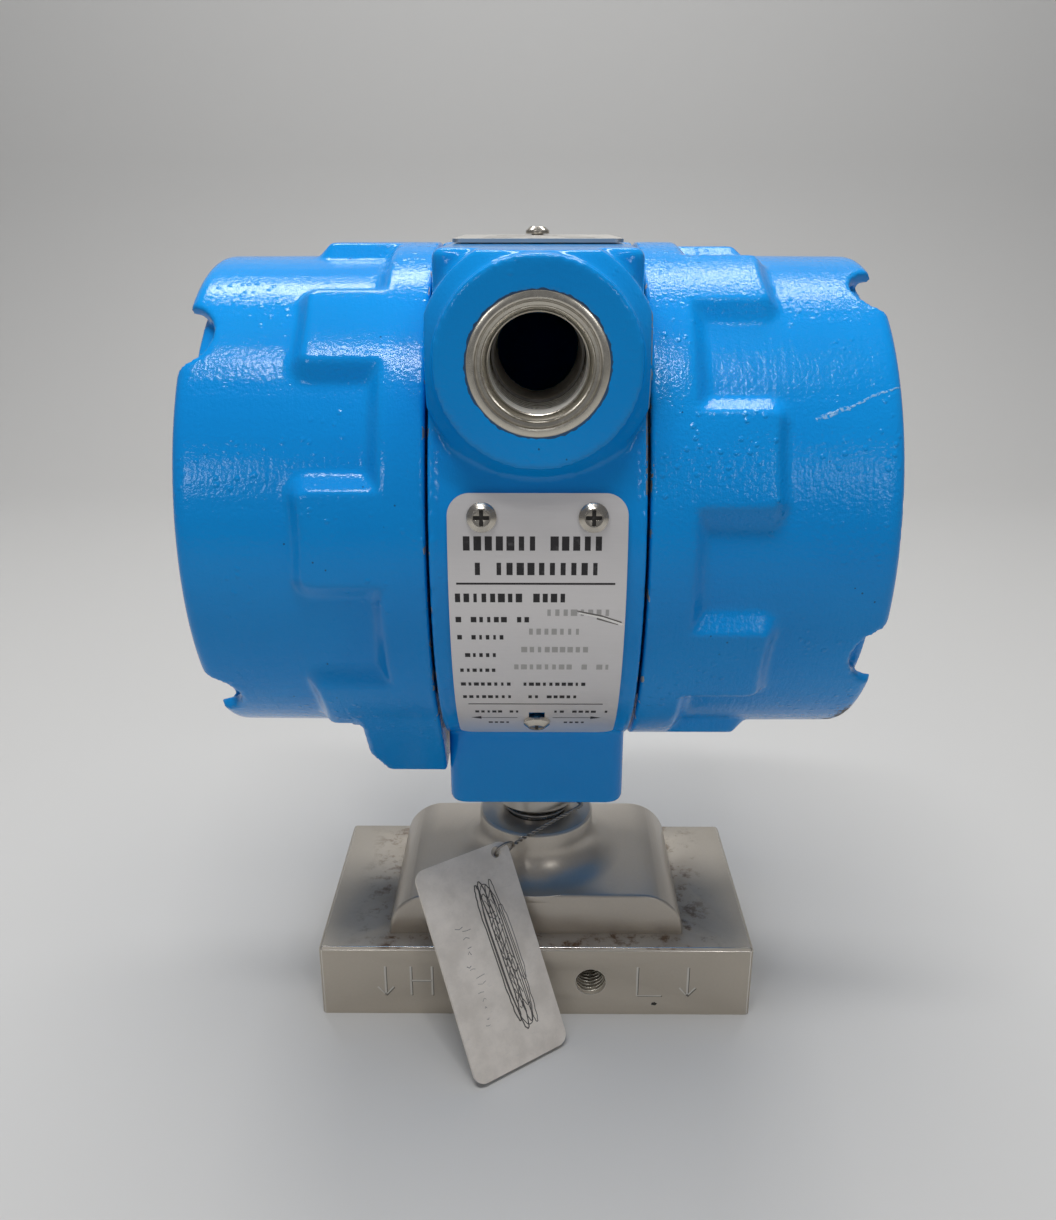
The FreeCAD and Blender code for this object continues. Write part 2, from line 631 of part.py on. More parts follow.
def housing_holes(body):
    """Conduit entry, neck bore, button wells and screw holes."""
    entry = sketch_on(body, "XY_Plane", "NeckBore", "neck_floor")
    pocket(body, "NeckBorePocket", circle(entry, "neck_bore"), "neck_bore_depth", back=True)
    lead = circle(sketch_on(body, "XY_Plane", "LeadHole"), "lead_hole_radius")
    lead.AttachmentOffset = FreeCAD.Placement(
        FreeCAD.Vector(-size("lead_hole_start"), 0, size("neck_floor + neck_bore_depth - 4")),
        FreeCAD.Rotation(FreeCAD.Vector(0, 1, 0), -size("lead_slant")))
    pocket(body, "LeadHolePocket", lead, "(-neck_floor - neck_bore_depth + 6 - cavity_radius) / "
           "cos(lead_slant)", back=True)
    throat = sketch_on(body, "XZ_Plane", "ConduitThroat", "boss_face")
    pocket(body, "ConduitThroatPocket", circle(throat, "conduit_throat", y="boss_rise"),
           "boss_face - 8")
    conduit_entry(body)
    for side in (-1, 1):
        tag = "Right" if side > 0 else "Left"
        well = sketch_on(body, "XY_Plane", tag + "ButtonWell", "deck_rise")
        circle(well, "button_hole", "%d * button_spacing / 2" % side, "-button_front")
        pocket(body, tag + "ButtonPocket", well, "button_recess + button_height + button_stroke + 0.3")
    top = sketch_on(body, "XY_Plane", "TopScrewHole", "deck_rise")
    pocket(body, "TopScrewPocket", circle(top, "small_shank_radius + small_fit", y="top_screw_back"),
           "small_shank_length + 0.5")


def turned_on_entry(body, name, corners, cut_away):
    """Revolve (distance ahead, radius) corners about the conduit entry's axis."""
    profile = sketch_on(body, "YZ_Plane", name + "Profile")
    outline(profile, [("-(%s)" % ahead, "boss_rise + %s" % radius) for ahead, radius in corners])
    start = FreeCAD.Vector(-size("boss_face"), size("boss_rise"), 0)
    axis = profile.addGeometry(Part.LineSegment(start, FreeCAD.Vector(0, start.y, 0)), True)
    profile.addConstraint(Sketcher.Constraint("Horizontal", axis))
    pin_point(profile, axis, 1, "-boss_face", "boss_rise")
    return turned(body, name, profile, axis="Axis0", cut_away=cut_away)


def conduit_entry(body):
    """Spot face, cone and thread bore, turned about the entry's own axis."""
    spot = "boss_face - conduit_spot_depth"
    cone = "boss_face - conduit_spot_depth - conduit_cone_depth"
    turned_on_entry(body, "ConduitBore", [
        ("boss_face + 1", "0"), ("boss_face - conduit_length", "0"),
        ("boss_face - conduit_length", "conduit_radius"), (cone, "conduit_radius"),
        (spot, "conduit_mouth"), (spot, "conduit_spot_radius"),
        ("boss_face + 1", "conduit_spot_radius")], cut_away=True)


# Covers: drawn with the open mouth at z = 0 and the axis along Z

COVER_TURN = {
    "Left": axes((0, -1, 0), (0, 0, 1), (-1, 0, 0)),
    "Right": axes((0, -1, 0), (0, 0, -1), (1, 0, 0)),
}


def cover(tag, side, phase):
    body = new_body(tag + "Cover")
    cover_shell(body)
    cover_teeth(body)
    cover_notches(body)
    if tag == "Left":
        cover_lug(body)
    body.Placement = FreeCAD.Placement(
        FreeCAD.Vector(), COVER_TURN[tag] * FreeCAD.Rotation(FreeCAD.Vector(0, 0, 1), -side * size(phase)))
    return place(body, "%d * cover_start" % side, z="axis_height")


def cover_shell(body):
    """Turned form: thread bore, seal groove, cavity, recessed end disc and its ring groove."""
    profile = sketch_on(body, "XZ_Plane", "CoverProfile")
    root = "flange_radius - tooth_depth"
    outline(profile, [
        ("thread_bore", "0"), ("flange_radius - mouth_bevel", "0"), ("flange_radius", "mouth_bevel"),
        ("flange_radius", "ring_length"), (root, "ring_length + tooth_depth"),
        ("barrel_end_radius", "cover_length - rim_round", "rim_round"),
        ("barrel_end_radius - rim_round", "cover_length"), ("groove_outer", "cover_length"),
        ("groove_outer", "cover_length - rim_groove_depth"),
        ("groove_inner", "cover_length - rim_groove_depth"),
        ("groove_inner", "disc_face - disc_edge", "disc_edge"),
        ("groove_inner - disc_edge", "disc_face"), ("0", "disc_face"), ("0", "cavity_end"),
        ("cover_cavity_radius - cover_cavity_bevel", "cavity_end"),
        ("cover_cavity_radius", "cavity_end - cover_cavity_bevel"),
        ("cover_cavity_radius", "cover_thread_end"), ("thread_bore", "cover_thread_end"),
        ("thread_bore", "seal_end"), ("seal_bottom", "seal_end"),
        ("seal_bottom", "cover_seal_start"), ("thread_bore", "cover_seal_start")])
    turned(body, "CoverTurned", profile)


def cover_teeth(body):
    """Gripping teeth: blocks with sloping flanks, repeated round the barrel, crests turned round."""
    block = sketch_on(body, "YZ_Plane", "ToothFoot", "tooth_base")
    reach = "tooth_half + tooth_spread"
    foot_run = "(flange_radius - tooth_depth - tooth_base) * tan(tooth_flank)"
    outline(block, [
        ("-(%s)" % reach, "ring_length - 7"), (reach, "ring_length - 7"),
        (reach, "tooth_end + %s - tooth_corner" % foot_run, "tooth_corner"),
        ("%s - tooth_corner" % reach, "tooth_end + " + foot_run),
        ("tooth_corner - (%s)" % reach, "tooth_end + " + foot_run, "tooth_corner"),
        ("-(%s)" % reach, "tooth_end + %s - tooth_corner" % foot_run)])
    tooth = pad(body, "ToothPad", block, "tooth_depth + tooth_root + tooth_spare",
                taper="-tooth_flank")
    ring_of(body, "Teeth", tooth, "tooth_count")
    trim = sketch_on(body, "XZ_Plane", "CrestTrim")
    rectangle(trim, "flange_radius", "ring_length - 6", "flange_radius + 6", "tooth_end + 6")
    turned(body, "CrestGroove", trim, cut_away=True)


def cover_notches(body):
    """Scalloped tool notches in the rim wall, down to the ring groove behind it."""
    face = sketch_on(body, "YZ_Plane", "NotchCircle")
    face.AttachmentOffset = FreeCAD.Placement(
        FreeCAD.Vector(), FreeCAD.Rotation(FreeCAD.Vector(0, 1, 0), size("notch_turn")))
    face.setExpression("AttachmentOffset.Rotation.Angle", bound("notch_turn"))
    face.setExpression("AttachmentOffset.Base.x", bound("flange_radius * sin(notch_turn)"))
    face.setExpression("AttachmentOffset.Base.z", bound("flange_radius * cos(notch_turn)"))
    circle(face, "notch_radius", y="cover_length - notch_depth + notch_radius")
    notch = pocket(body, "NotchPocket", face, "flange_radius - groove_inner - 0.1")
    ring_of(body, "Notches", notch, "notch_count")


def cover_lug(body):
    """Locking lug: flat foot, sides that run into the ring on a tangent, outer end cut on a slant."""
    base = sketch_on(body, "XY_Plane", "LugOutline")
    side_x = "lug_root * sin(lug_tangent)"
    side_y = "-lug_root * cos(lug_tangent)"
    inner_x = "(lug_root - tooth_depth) * sin(lug_tangent)"
    inner_y = "-(lug_root - tooth_depth) * cos(lug_tangent)"
    outline(base, [
        ("-" + side_x, side_y), ("-lug_half", "-lug_reach"), ("lug_half", "-lug_reach"),
        (side_x, side_y), (inner_x, inner_y, "-lug_root - tooth_depth"), ("-" + inner_x, inner_y)])
    pad(body, "LugPad", base, "lug_top")
    slant = sketch_on(body, "YZ_Plane", "LugSlant")
    outline(slant, [
        ("-lug_reach - 1", "lug_foot"), ("-flange_radius - 0.02", "lug_top"),
        ("-flange_radius - 0.02", "lug_top + 1"), ("-lug_reach - 1", "lug_top + 1")])
    item = body.newObject("PartDesign::Pocket", "LugSlantPocket")
    item.Profile = slant
    item.SideType = "Symmetric"
    bind(item, Length="2 * flange_radius")
    check_change(body, item, False)


def cover_seal(tag, side):
    """Rubber ring in the cover's mouth that runs on the housing's collar."""
    ring = bind(DOC.addObject("Part::Torus", tag + "CoverSeal"),
                Radius1="collar_radius + cover_seal_fit + cover_seal_section",
                Radius2="cover_seal_section")
    reach = "cover_start + cover_seal_start + cover_seal_fit + cover_seal_section"
    return place(ring, "%d * (%s)" % (side, reach), z="axis_height", turn=ALONG_X)


# Name plate, top plate, buttons and small screws

def small_screw(name):
    """Pan-head screw with a cross recess, its head standing on z = 0."""
    rim = cylinder(name + "Rim", "small_head_radius", "small_head_height * 0.45")
    dome = bind(DOC.addObject("Part::Cone", name + "Dome"), Radius1="small_head_radius",
                Radius2="small_head_radius * 0.62", Height="small_head_height * 0.55")
    place(dome, z="small_head_height * 0.45")
    shank = cylinder(name + "Shank", "small_shank_radius", "small_shank_length + 0.1",
                     z="-small_shank_length")
    slots = [
        box(name + "SlotX", "small_cross", "small_cross_width", "small_cross_depth + 1",
            z="small_head_height - small_cross_depth"),
        box(name + "SlotY", "small_cross_width", "small_cross", "small_cross_depth + 1",
            z="small_head_height - small_cross_depth")]
    return cut(name, fuse(name + "Solid", [rim, dome, shank]), slots)


def on_barrel(item, angle, radius, x="0"):
    """Stand an object on the barrel, its Z pointing outward at an angle above the front."""
    turn = size(angle)
    outward = FreeCAD.Vector(0, -math.cos(math.radians(turn)), math.sin(math.radians(turn)))
    item.Placement = FreeCAD.Placement(
        FreeCAD.Vector(), FreeCAD.Rotation(FreeCAD.Vector(1, 0, 0), FreeCAD.Vector(), outward, "XZY"))
    item.setExpression("Placement.Base.x", bound(x))
    item.setExpression("Placement.Base.y", bound("-(%s) * cos(%s)" % (radius, angle)))
    item.setExpression("Placement.Base.z", bound("axis_height + (%s) * sin(%s)" % (radius, angle)))
    return item


PLATE_SCREWS = (("plate_screw_angle", "plate_screw_offset"),
                ("plate_screw_angle", "-plate_screw_offset"), ("-plate_foot_angle", "0"))


def name_plate():
    """Thin plate bent round the barrel, with two screw holes above and an open slot at its foot."""
    body = new_body("NamePlate")
    inner, outer = "plate_inner", "(plate_inner + plate_thickness)"
    top, foot = "plate_top_angle", "plate_bottom_angle"
    profile = sketch_on(body, "YZ_Plane", "PlateProfile")
    outline(profile, [
        ("-%s * cos(%s)" % (inner, top), "%s * sin(%s)" % (inner, top), inner),
        ("-%s * cos(%s)" % (inner, foot), "-%s * sin(%s)" % (inner, foot)),
        ("-%s * cos(%s)" % (outer, foot), "-%s * sin(%s)" % (outer, foot), "-" + outer),
        ("-%s * cos(%s)" % (outer, top), "%s * sin(%s)" % (outer, top))])
    pad(body, "PlatePad", profile, "plate_width", both=True)
    half = size("plate_width / 2")

    def corner(edge, middle):
        return is_line(edge) and abs(abs(middle.x) - half) < 1e-6 and not runs_along(edge, "x")

    soften(body, "PlateCorners", "Fillet", "plate_corner", corner)
    place(body, z="axis_height")
    holes = []
    for index, (angle, x) in enumerate(PLATE_SCREWS):
        hole = cylinder("PlateHole%d" % index, "small_shank_radius + small_fit", "6")
        holes.append(on_barrel(hole, angle, "body_radius - 3", x))
    slot = DOC.addObject("Part::Box", "PlateSlot")
    bind(slot, Length="plate_slot_width", Width="plate_slot_length", Height="6")
    on_barrel(slot, "-plate_foot_angle", "body_radius - 3", "-plate_slot_width / 2")
    return cut("NamePlateCut", body, holes + [slot])


def plate_screws(name, radius):
    """The three screws of the name plate, or the bodies that cut their holes."""
    made = []
    for index, (angle, x) in enumerate(PLATE_SCREWS):
        label = "%s%d" % (name, index)
        if radius:
            item = cylinder(label, radius, "small_shank_length + 0.6")
            on_barrel(item, angle, "body_radius - small_shank_length - 0.4", x)
        else:
            item = on_barrel(small_screw(label), angle, "screw_seat", x)
        made.append(item)
    return made


def top_plate():
    """Flat plate over the buttons, held by one screw near its back edge."""
    body = new_body("TopPlate")
    base = sketch_on(body, "XY_Plane", "TopPlateOutline", "top_plate_seat")
    soft_rectangle(base, "-top_plate_width / 2", "-top_plate_front", "top_plate_width / 2",
                   "top_plate_back", "top_plate_corner")
    pad(body, "TopPlatePad", base, "plate_thickness")
    hole = circle(sketch_on(body, "XY_Plane", "TopPlateHole", "top_plate_seat + plate_thickness"),
                  "small_shank_radius + turn_gap", y="top_screw_back")
    pocket(body, "TopPlateHolePocket", hole, "plate_thickness")
    return place(body, z="axis_height")


def top_screw():
    screw = small_screw("TopScrew")
    return place(screw, y="top_screw_back",
                 z="axis_height + top_plate_seat + plate_thickness + turn_gap")


def button(tag, side):
    """Sprung adjusting pin in its well under the top plate."""
    body = lathe(tag + "Button", [
        ("0", "0"), ("button_radius", "0"), ("button_radius", "button_height - 0.5"),
        ("button_radius - 0.5", "button_height"), ("0.9", "button_height"),
        ("0.9", "button_height - 0.8"), ("0", "button_height - 0.8")])
    return place(body, "%d * button_spacing / 2" % side, "-button_front",
                 "axis_height + deck_rise - button_recess - button_height")


# Electronics side

def electronics_case():
    """Round potted case on the partition, with a connector recess."""
    body = new_body("ElectronicsCase")
    base = sketch_on(body, "YZ_Plane", "CaseOutline", "-partition_left")
    pad(body, "CasePad", circle(base, "case_radius"), "case_length", back=True)
    recess = sketch_on(body, "YZ_Plane", "CaseRecess", "-board_seat")
    rectangle(recess, "-case_recess_half", "-case_recess_drop", "case_recess_half", "case_recess_rise")
    pocket(body, "CaseRecessPocket", recess, "case_recess_depth", back=True)
    place(body, z="axis_height")
    reach = "case_length + 2"
    holes = [cylinder("CaseHole%d" % side, "small_shank_radius + small_fit", reach,
                      "-partition_left - (%s) + 1" % reach, "%d * board_screw_spacing / 2" % side,
                      "axis_height", ALONG_X) for side in (-1, 1)]
    return cut("ElectronicsCaseCut", body, holes)


def circuit_board():
    """Round board on the case, clear of the bore, with two screw holes."""
    disc = cylinder("BoardDisc", "board_radius", "board_thickness", x="-board_seat - board_thickness",
                    z="axis_height", turn=ALONG_X)
    holes = [cylinder("BoardHole%d" % side, "small_shank_radius + small_fit", "board_thickness + 2",
                      x="-board_seat - board_thickness - 1", y="%d * board_screw_spacing / 2" % side,
                      z="axis_height", turn=ALONG_X) for side in (-1, 1)]
    return cut("CircuitBoard", disc, holes)


def board_parts():
    """Connector, two chips and the jumper block on the board."""
    kinds = (("Connector", "connector", "0"), ("ChipLeft", "chip", "chip_spread / 2"),
             ("ChipRight", "chip", "-chip_spread / 2"), ("Jumpers", "jumper", "0"))
    made = []
    for name, kind, middle in kinds:
        item = DOC.addObject("Part::Box", name)
        bind(item, Length=kind + "_tall", Width=kind + "_wide", Height=kind + "_high")
        made.append(place(item, "-board_seat - board_thickness - %s_tall" % kind,
                          "%s - %s_wide / 2" % (middle, kind),
                          "axis_height + %s_rise - %s_high / 2" % (kind, kind)))
    return group("BoardParts", made)


def board_screws():
    """Two captive screws through board and case edge into the partition."""
    made = []
    for side in (-1, 1):
        screw = small_screw("BoardScrew%d" % side)
        screw.Placement = FreeCAD.Placement(FreeCAD.Vector(), axes((0, -1, 0), (0, 0, 1), (-1, 0, 0)))
        made.append(place(screw, "-board_seat - board_thickness",
                          "%d * board_screw_spacing / 2" % side, "axis_height"))
    return group("BoardScrews", made)


# Terminal side

TERMINALS = (-1, 0, 1)


def terminal_block():
    """Moulded block with a flat top edge and three pockets for the terminal screws."""
    body = new_body("TerminalBlock")
    chord = "sqrt(terminal_radius ^ 2 - terminal_flat ^ 2)"
    base = sketch_on(body, "YZ_Plane", "TerminalOutline", "-partition_right")
    outline(base, [
        ("-" + chord, "terminal_flat", "terminal_radius"), ("0", "-terminal_radius", "terminal_radius"),
        (chord, "terminal_flat")])
    pad(body, "TerminalPad", base, "terminal_thickness")
    for place_y in TERMINALS:
        pit = sketch_on(body, "YZ_Plane", "TerminalPit%d" % place_y,
                        "terminal_thickness - partition_right")
        middle = "%d * terminal_spacing" % place_y
        rectangle(pit, "%s - terminal_pocket / 2" % middle, "-terminal_drop - terminal_pocket / 2",
                  "%s + terminal_pocket / 2" % middle, "-terminal_drop + terminal_pocket")
        pocket(body, "TerminalPitPocket%d" % place_y, pit, "terminal_pocket_depth")
    place(body, z="axis_height")
    holes = [cylinder("TerminalHole%d" % place_y, "small_shank_radius + small_fit",
                      "small_shank_length + 2", "clamp_seat - small_shank_length - 0.6",
                      "%d * terminal_spacing" % place_y, "axis_height - terminal_drop", ALONG_X)
             for place_y in TERMINALS]
    return cut("TerminalBlockCut", body, holes)


def terminal_clamps():
    """Square clamp plates under the terminal screws."""
    made = []
    for place_y in TERMINALS:
        name = "Clamp%d" % place_y
        plate = DOC.addObject("Part::Box", name + "Plate")
        bind(plate, Length="clamp_thickness", Width="clamp_side", Height="clamp_side")
        place(plate, "clamp_seat", "%d * terminal_spacing - clamp_side / 2" % place_y,
              "axis_height - terminal_drop - clamp_side / 2")
        hole = cylinder(name + "Hole", "small_shank_radius + small_fit", "clamp_thickness + 2",
                        "clamp_seat - 1", "%d * terminal_spacing" % place_y,
                        "axis_height - terminal_drop", ALONG_X)
        made.append(cut(name, plate, [hole]))
    return group("TerminalClamps", made)


def terminal_screws():
    made = []
    for place_y in TERMINALS:
        screw = small_screw("TerminalScrew%d" % place_y)
        screw.Placement = FreeCAD.Placement(FreeCAD.Vector(), ALONG_X)
        made.append(place(screw, "clamp_seat + clamp_thickness",
                          "%d * terminal_spacing" % place_y, "axis_height - terminal_drop"))
    return group("TerminalScrews", made)


def ground_screw():
    """Earth screw on the partition, above the terminal block."""
    screw = small_screw("GroundScrew")
    screw.Placement = FreeCAD.Placement(FreeCAD.Vector(), ALONG_X)
    return place(screw, "-partition_right", "ground_side", "axis_height + ground_rise")


def screw_holes():
    """Holes in the housing for the name plate's screws, the board's screws and the earth screw."""
    hole = "small_shank_radius + small_fit"
    holes = plate_screws("PlateScrewHole", hole)
    holes.append(cylinder("GroundHole", hole, "small_shank_length + 2",
                          "-partition_right - small_shank_length - 0.5", "ground_side",
                          "axis_height + ground_rise", ALONG_X))
    return holes


# Tag and wire

def tag_axes():
    """Across, up and outward directions of the leaning tag."""
    turn, lean = math.radians(size("tag_turn")), math.radians(size("tag_lean"))
    across = FreeCAD.Vector(math.cos(turn), math.sin(turn), 0)
    spin = FreeCAD.Rotation(across, math.degrees(lean))
    up = spin.multVec(FreeCAD.Vector(-math.sin(turn), math.cos(turn), 0))
    return across, up, across.cross(up)


def tag_point(x, y):
    """A point of the tag's middle plane, given in the tag's own across and up sizes."""
    across, up, _ = tag_axes()
    centre = FreeCAD.Vector(size("tag_centre_x"), size("tag_centre_y"), size("tag_centre_z"))
    return centre + across * size(x) + up * size(y)


TAG_HOLE = ("tag_width / 2 - tag_hole_inset", "tag_height / 2 - tag_hole_drop")


def tag():
    """Rounded plate with a wire hole near one upper corner, leaning back on its wire."""
    body = new_body("Tag")
    base = sketch_on(body, "XY_Plane", "TagOutline")
    soft_rectangle(base, "-tag_width / 2", "-tag_height / 2", "tag_width / 2", "tag_height / 2",
                   "tag_corner")
    pad(body, "TagPad", base, "tag_thickness", both=True)
    hole = circle(sketch_on(body, "XY_Plane", "TagHole", "tag_thickness"), "tag_hole_radius", *TAG_HOLE)
    pocket(body, "TagHolePocket", hole, "2 * tag_thickness")
    body.Placement = FreeCAD.Placement(FreeCAD.Vector(), FreeCAD.Rotation(*tag_axes(), "ZXY"))
    return place(body, "tag_centre_x", "tag_centre_y", "tag_centre_z")


def rounded_path(points):
    """Straight runs joined by tangent arcs, each arc as large as its two runs allow."""
    edges = []
    start = points[0]
    for before, corner, after in zip(points, points[1:], points[2:]):
        back, ahead = before - corner, after - corner
        reach = 0.45 * min(back.Length, ahead.Length)
        back.normalize()
        ahead.normalize()
        turn = math.pi - back.getAngle(ahead)
        radius = reach / math.tan(turn / 2)
        middle = (back + ahead).normalize()
        arc_middle = corner + middle * (radius / math.cos(turn / 2) - radius)
        first, last = corner + back * reach, corner + ahead * reach
        edges.append(Part.LineSegment(start, first).toShape())
        edges.append(Part.Arc(first, arc_middle, last).toShape())
        print("wire bend radius %.1f" % radius)
        start = last
    edges.append(Part.LineSegment(start, points[-1]).toShape())
    return Part.Wire(edges)


def tag_wire():
    """Twisted wire: an eye through the tag's hole, a twisted run, and a loop round the stem."""
    across, up, outward = tag_axes()
    hole = tag_point(*TAG_HOLE)
    middle = math.radians(size("tag_swing") / 2)
    through = outward * math.cos(middle) + up * math.sin(middle)
    eye_radius, wire = size("eye_radius"), size("wire_radius")
    eye = Part.makeTorus(eye_radius, wire, hole + across * eye_radius, across.cross(through))
    loop_radius = size("stem_radius + wire_fit + wire_radius")
    loop_height = size("hub_top + wire_fit + 2 * wire_radius + 0.4")
    loop = Part.makeTorus(loop_radius, wire, FreeCAD.Vector(0, 0, loop_height))
    start = hole + across * (2 * eye_radius)
    nut = size("nut_radius")
    points = [
        start,
        start + across * 3.4 + FreeCAD.Vector(0, 0, 1.1),
        FreeCAD.Vector(0.6, -nut - 4.6, loop_height + 0.2),
        FreeCAD.Vector(5.4, -nut - 1.9, loop_height + 1.8),
        FreeCAD.Vector(10.2, -nut + 1.2, loop_height + 2.6),
        FreeCAD.Vector(nut + 1.9, -5.3, loop_height + 1.9),
        FreeCAD.Vector(nut + 0.5, -0.6, loop_height + 0.4),
        FreeCAD.Vector(loop_radius * math.cos(0.35), loop_radius * math.sin(0.35), loop_height)]
    path = rounded_path(points)
    section = Part.Wire(Part.Circle(points[0], points[1] - points[0], size("twist_radius")).toShape())
    twist = path.makePipeShell([section], True, True)
    item = DOC.addObject("Part::Feature", "TagWire")
    item.Shape = eye.fuse([twist, loop])
    return item


def label(item, name):
    """Name a finished sub-part; its label names its file."""
    item.Label = name
    return item


def build():
    """Make every sub-part and return them in order, from the block up to the wire."""
    casting = fuse("HousingCasting", [housing(), conduit_skirt()])
    pieces = [
        label(process_block(), "process_block"),
        label(cap_screws(), "flange_screws"),
        label(sensor_module(), "sensor_module"),
        label(diaphragm("Low", 1), "diaphragm_low"),
        label(diaphragm("High", -1), "diaphragm_high"),
        label(flange_seal("Low", 1), "flange_seal_low"),
        label(flange_seal("High", -1), "flange_seal_high"),
        label(sensor_cell(), "sensor_cell"),
        label(stem(), "stem"),
        label(lock_nut(), "lock_nut"),
        label(cut("HousingDrilled", casting, screw_holes()), "housing"),
        label(name_plate(), "name_plate"),
        label(group("PlateScrews", plate_screws("PlateScrew", None)), "name_plate_screws"),
        label(top_plate(), "top_plate"),
        label(top_screw(), "top_plate_screw"),
        label(button("Right", 1), "zero_button"),
        label(button("Left", -1), "span_button"),
        label(electronics_case(), "electronics_case"),
        label(circuit_board(), "circuit_board"),
        label(board_parts(), "board_parts"),
        label(board_screws(), "board_screws"),
        label(terminal_block(), "terminal_block"),
        label(terminal_clamps(), "terminal_clamps"),
        label(terminal_screws(), "terminal_screws"),
        label(ground_screw(), "ground_screw"),
        label(cover("Left", -1, "left_phase"), "cover_left"),
        label(cover("Right", 1, "right_phase"), "cover_right"),
        label(cover_seal("Left", -1), "cover_seal_left"),
        label(cover_seal("Right", 1), "cover_seal_right"),
        label(tag(), "tag"),
        label(tag_wire(), "tag_wire"),
    ]
    DOC.recompute()
    return pieces


def check_document(pieces):
    """Stop before anything is written if an object failed or a shape is not sound."""
    for item in DOC.Objects:
        if "Invalid" in item.State or "Error" in item.State:
            raise RuntimeError("%s failed: %s" % (item.Name, item.State))
    for item in pieces:
        if item.Shape.isNull() or not item.Shape.isValid() or not item.Shape.Solids:
            raise RuntimeError("%s has no sound shape" % item.Label)


def main():
    fill_sheet()
    pieces = build()
    check_document(pieces)
    os.makedirs("parts", exist_ok=True)
    for item in pieces:
        item.Shape.exportStep("parts/%s.step" % item.Label)


main()
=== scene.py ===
import json
import random
from math import copysign, cos, hypot, pi, radians, sin

import bmesh
import bpy
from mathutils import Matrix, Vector


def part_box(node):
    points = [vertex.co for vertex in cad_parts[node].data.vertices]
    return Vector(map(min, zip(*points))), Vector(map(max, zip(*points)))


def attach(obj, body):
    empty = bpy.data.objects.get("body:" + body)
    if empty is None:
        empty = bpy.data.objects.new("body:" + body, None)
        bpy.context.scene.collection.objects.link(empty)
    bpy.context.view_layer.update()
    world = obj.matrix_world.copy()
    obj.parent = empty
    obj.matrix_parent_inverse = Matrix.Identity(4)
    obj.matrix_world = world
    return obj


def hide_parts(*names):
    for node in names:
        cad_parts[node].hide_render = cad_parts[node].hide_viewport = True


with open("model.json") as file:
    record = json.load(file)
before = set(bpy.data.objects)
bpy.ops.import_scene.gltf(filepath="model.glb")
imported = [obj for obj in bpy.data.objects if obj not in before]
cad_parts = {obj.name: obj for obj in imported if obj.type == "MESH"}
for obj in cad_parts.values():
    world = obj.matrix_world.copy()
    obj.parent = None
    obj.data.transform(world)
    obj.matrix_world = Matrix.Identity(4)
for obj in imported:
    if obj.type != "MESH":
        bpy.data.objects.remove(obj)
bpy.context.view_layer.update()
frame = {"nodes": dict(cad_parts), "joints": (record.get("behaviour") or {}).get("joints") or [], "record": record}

bl_info = {
    "name": "Pressure transmitter finishes",
    "version": (1, 0, 0),
    "blender": (4, 5, 0),
    "location": "3D View > Sidebar > Transmitter",
    "description": "Paint, bare metal, threads, marks, wire and stage for a pressure transmitter",
    "category": "Object",
}

MM = 0.001
NODES = frame["nodes"]
MOUNTS = {mount["name"]: mount for mount in frame["record"]["mounts"]}
JOINTS = {joint["name"]: joint for joint in frame["joints"]}
BODY_OF = {node: body for body, nodes in frame["record"]["behaviour"]["bodies"].items() for node in nodes}

AXIS = JOINTS["left_cover_turn"]["pos_m"][2]
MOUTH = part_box("cover_right")[0].x
RING_RADIUS = (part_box("cover_right")[1].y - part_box("cover_right")[0].y) / 2
BARREL_RADIUS = RING_RADIUS - 3 * MM
PLATE_FACE = -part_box("name_plate")[0].y
ENTRY = Vector(MOUNTS["conduit_entry"]["pos_m"])
ENTRY_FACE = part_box("housing")[0].y
ENTRY_RADIUS = MOUNTS["conduit_entry"]["dims"]["r_mm"] * MM
ENTRY_RING = 13.5 * MM
BORE = 51.5 * MM  # just past the covers' inside and the housing's collars
BLOCK_LOW, BLOCK_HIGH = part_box("process_block")
TAG_LOW, TAG_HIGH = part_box("tag")
TAG_MIDDLE = (TAG_LOW + TAG_HIGH) / 2
TAG_TURN, TAG_LEAN, TAG_THICK = 35.8, 58.4, 0.8  # degrees, degrees and mm
EYE_RADIUS, EYE_SWING = 2.75 * MM, radians(30)
LOOP_RADIUS, LOOP_HEIGHT = 8.75 * MM, 47.65 * MM
MOST_FACES = 190000
WELL_DEPTH = 2.3 * MM  # from the resting pin's foot down to its well's floor
WELL_REACH, WELL_BAND = 3.7 * MM, 1.2 * MM  # round a pin's axis, and up and down from the floor
WELL_DROP, WELL_WIDENING = 0.9 * MM, 0.35 * MM
SCREW_EDGE = 0.5 * MM
SLOT, HEAD_RISE = (1.55, 0.38), 1.35  # half sizes of a slot and the screw heads' height, in mm
STROKE_SAG = 12 * MM  # how far a surface may fall away under a painted stroke


# Node trees written as expressions

def maths(operation, swapped=False):
    """A method that adds one Math node; swapped puts the other value first."""
    def method(self, other):
        return self.sum(operation, *((other, self) if swapped else (self, other)))
    return method


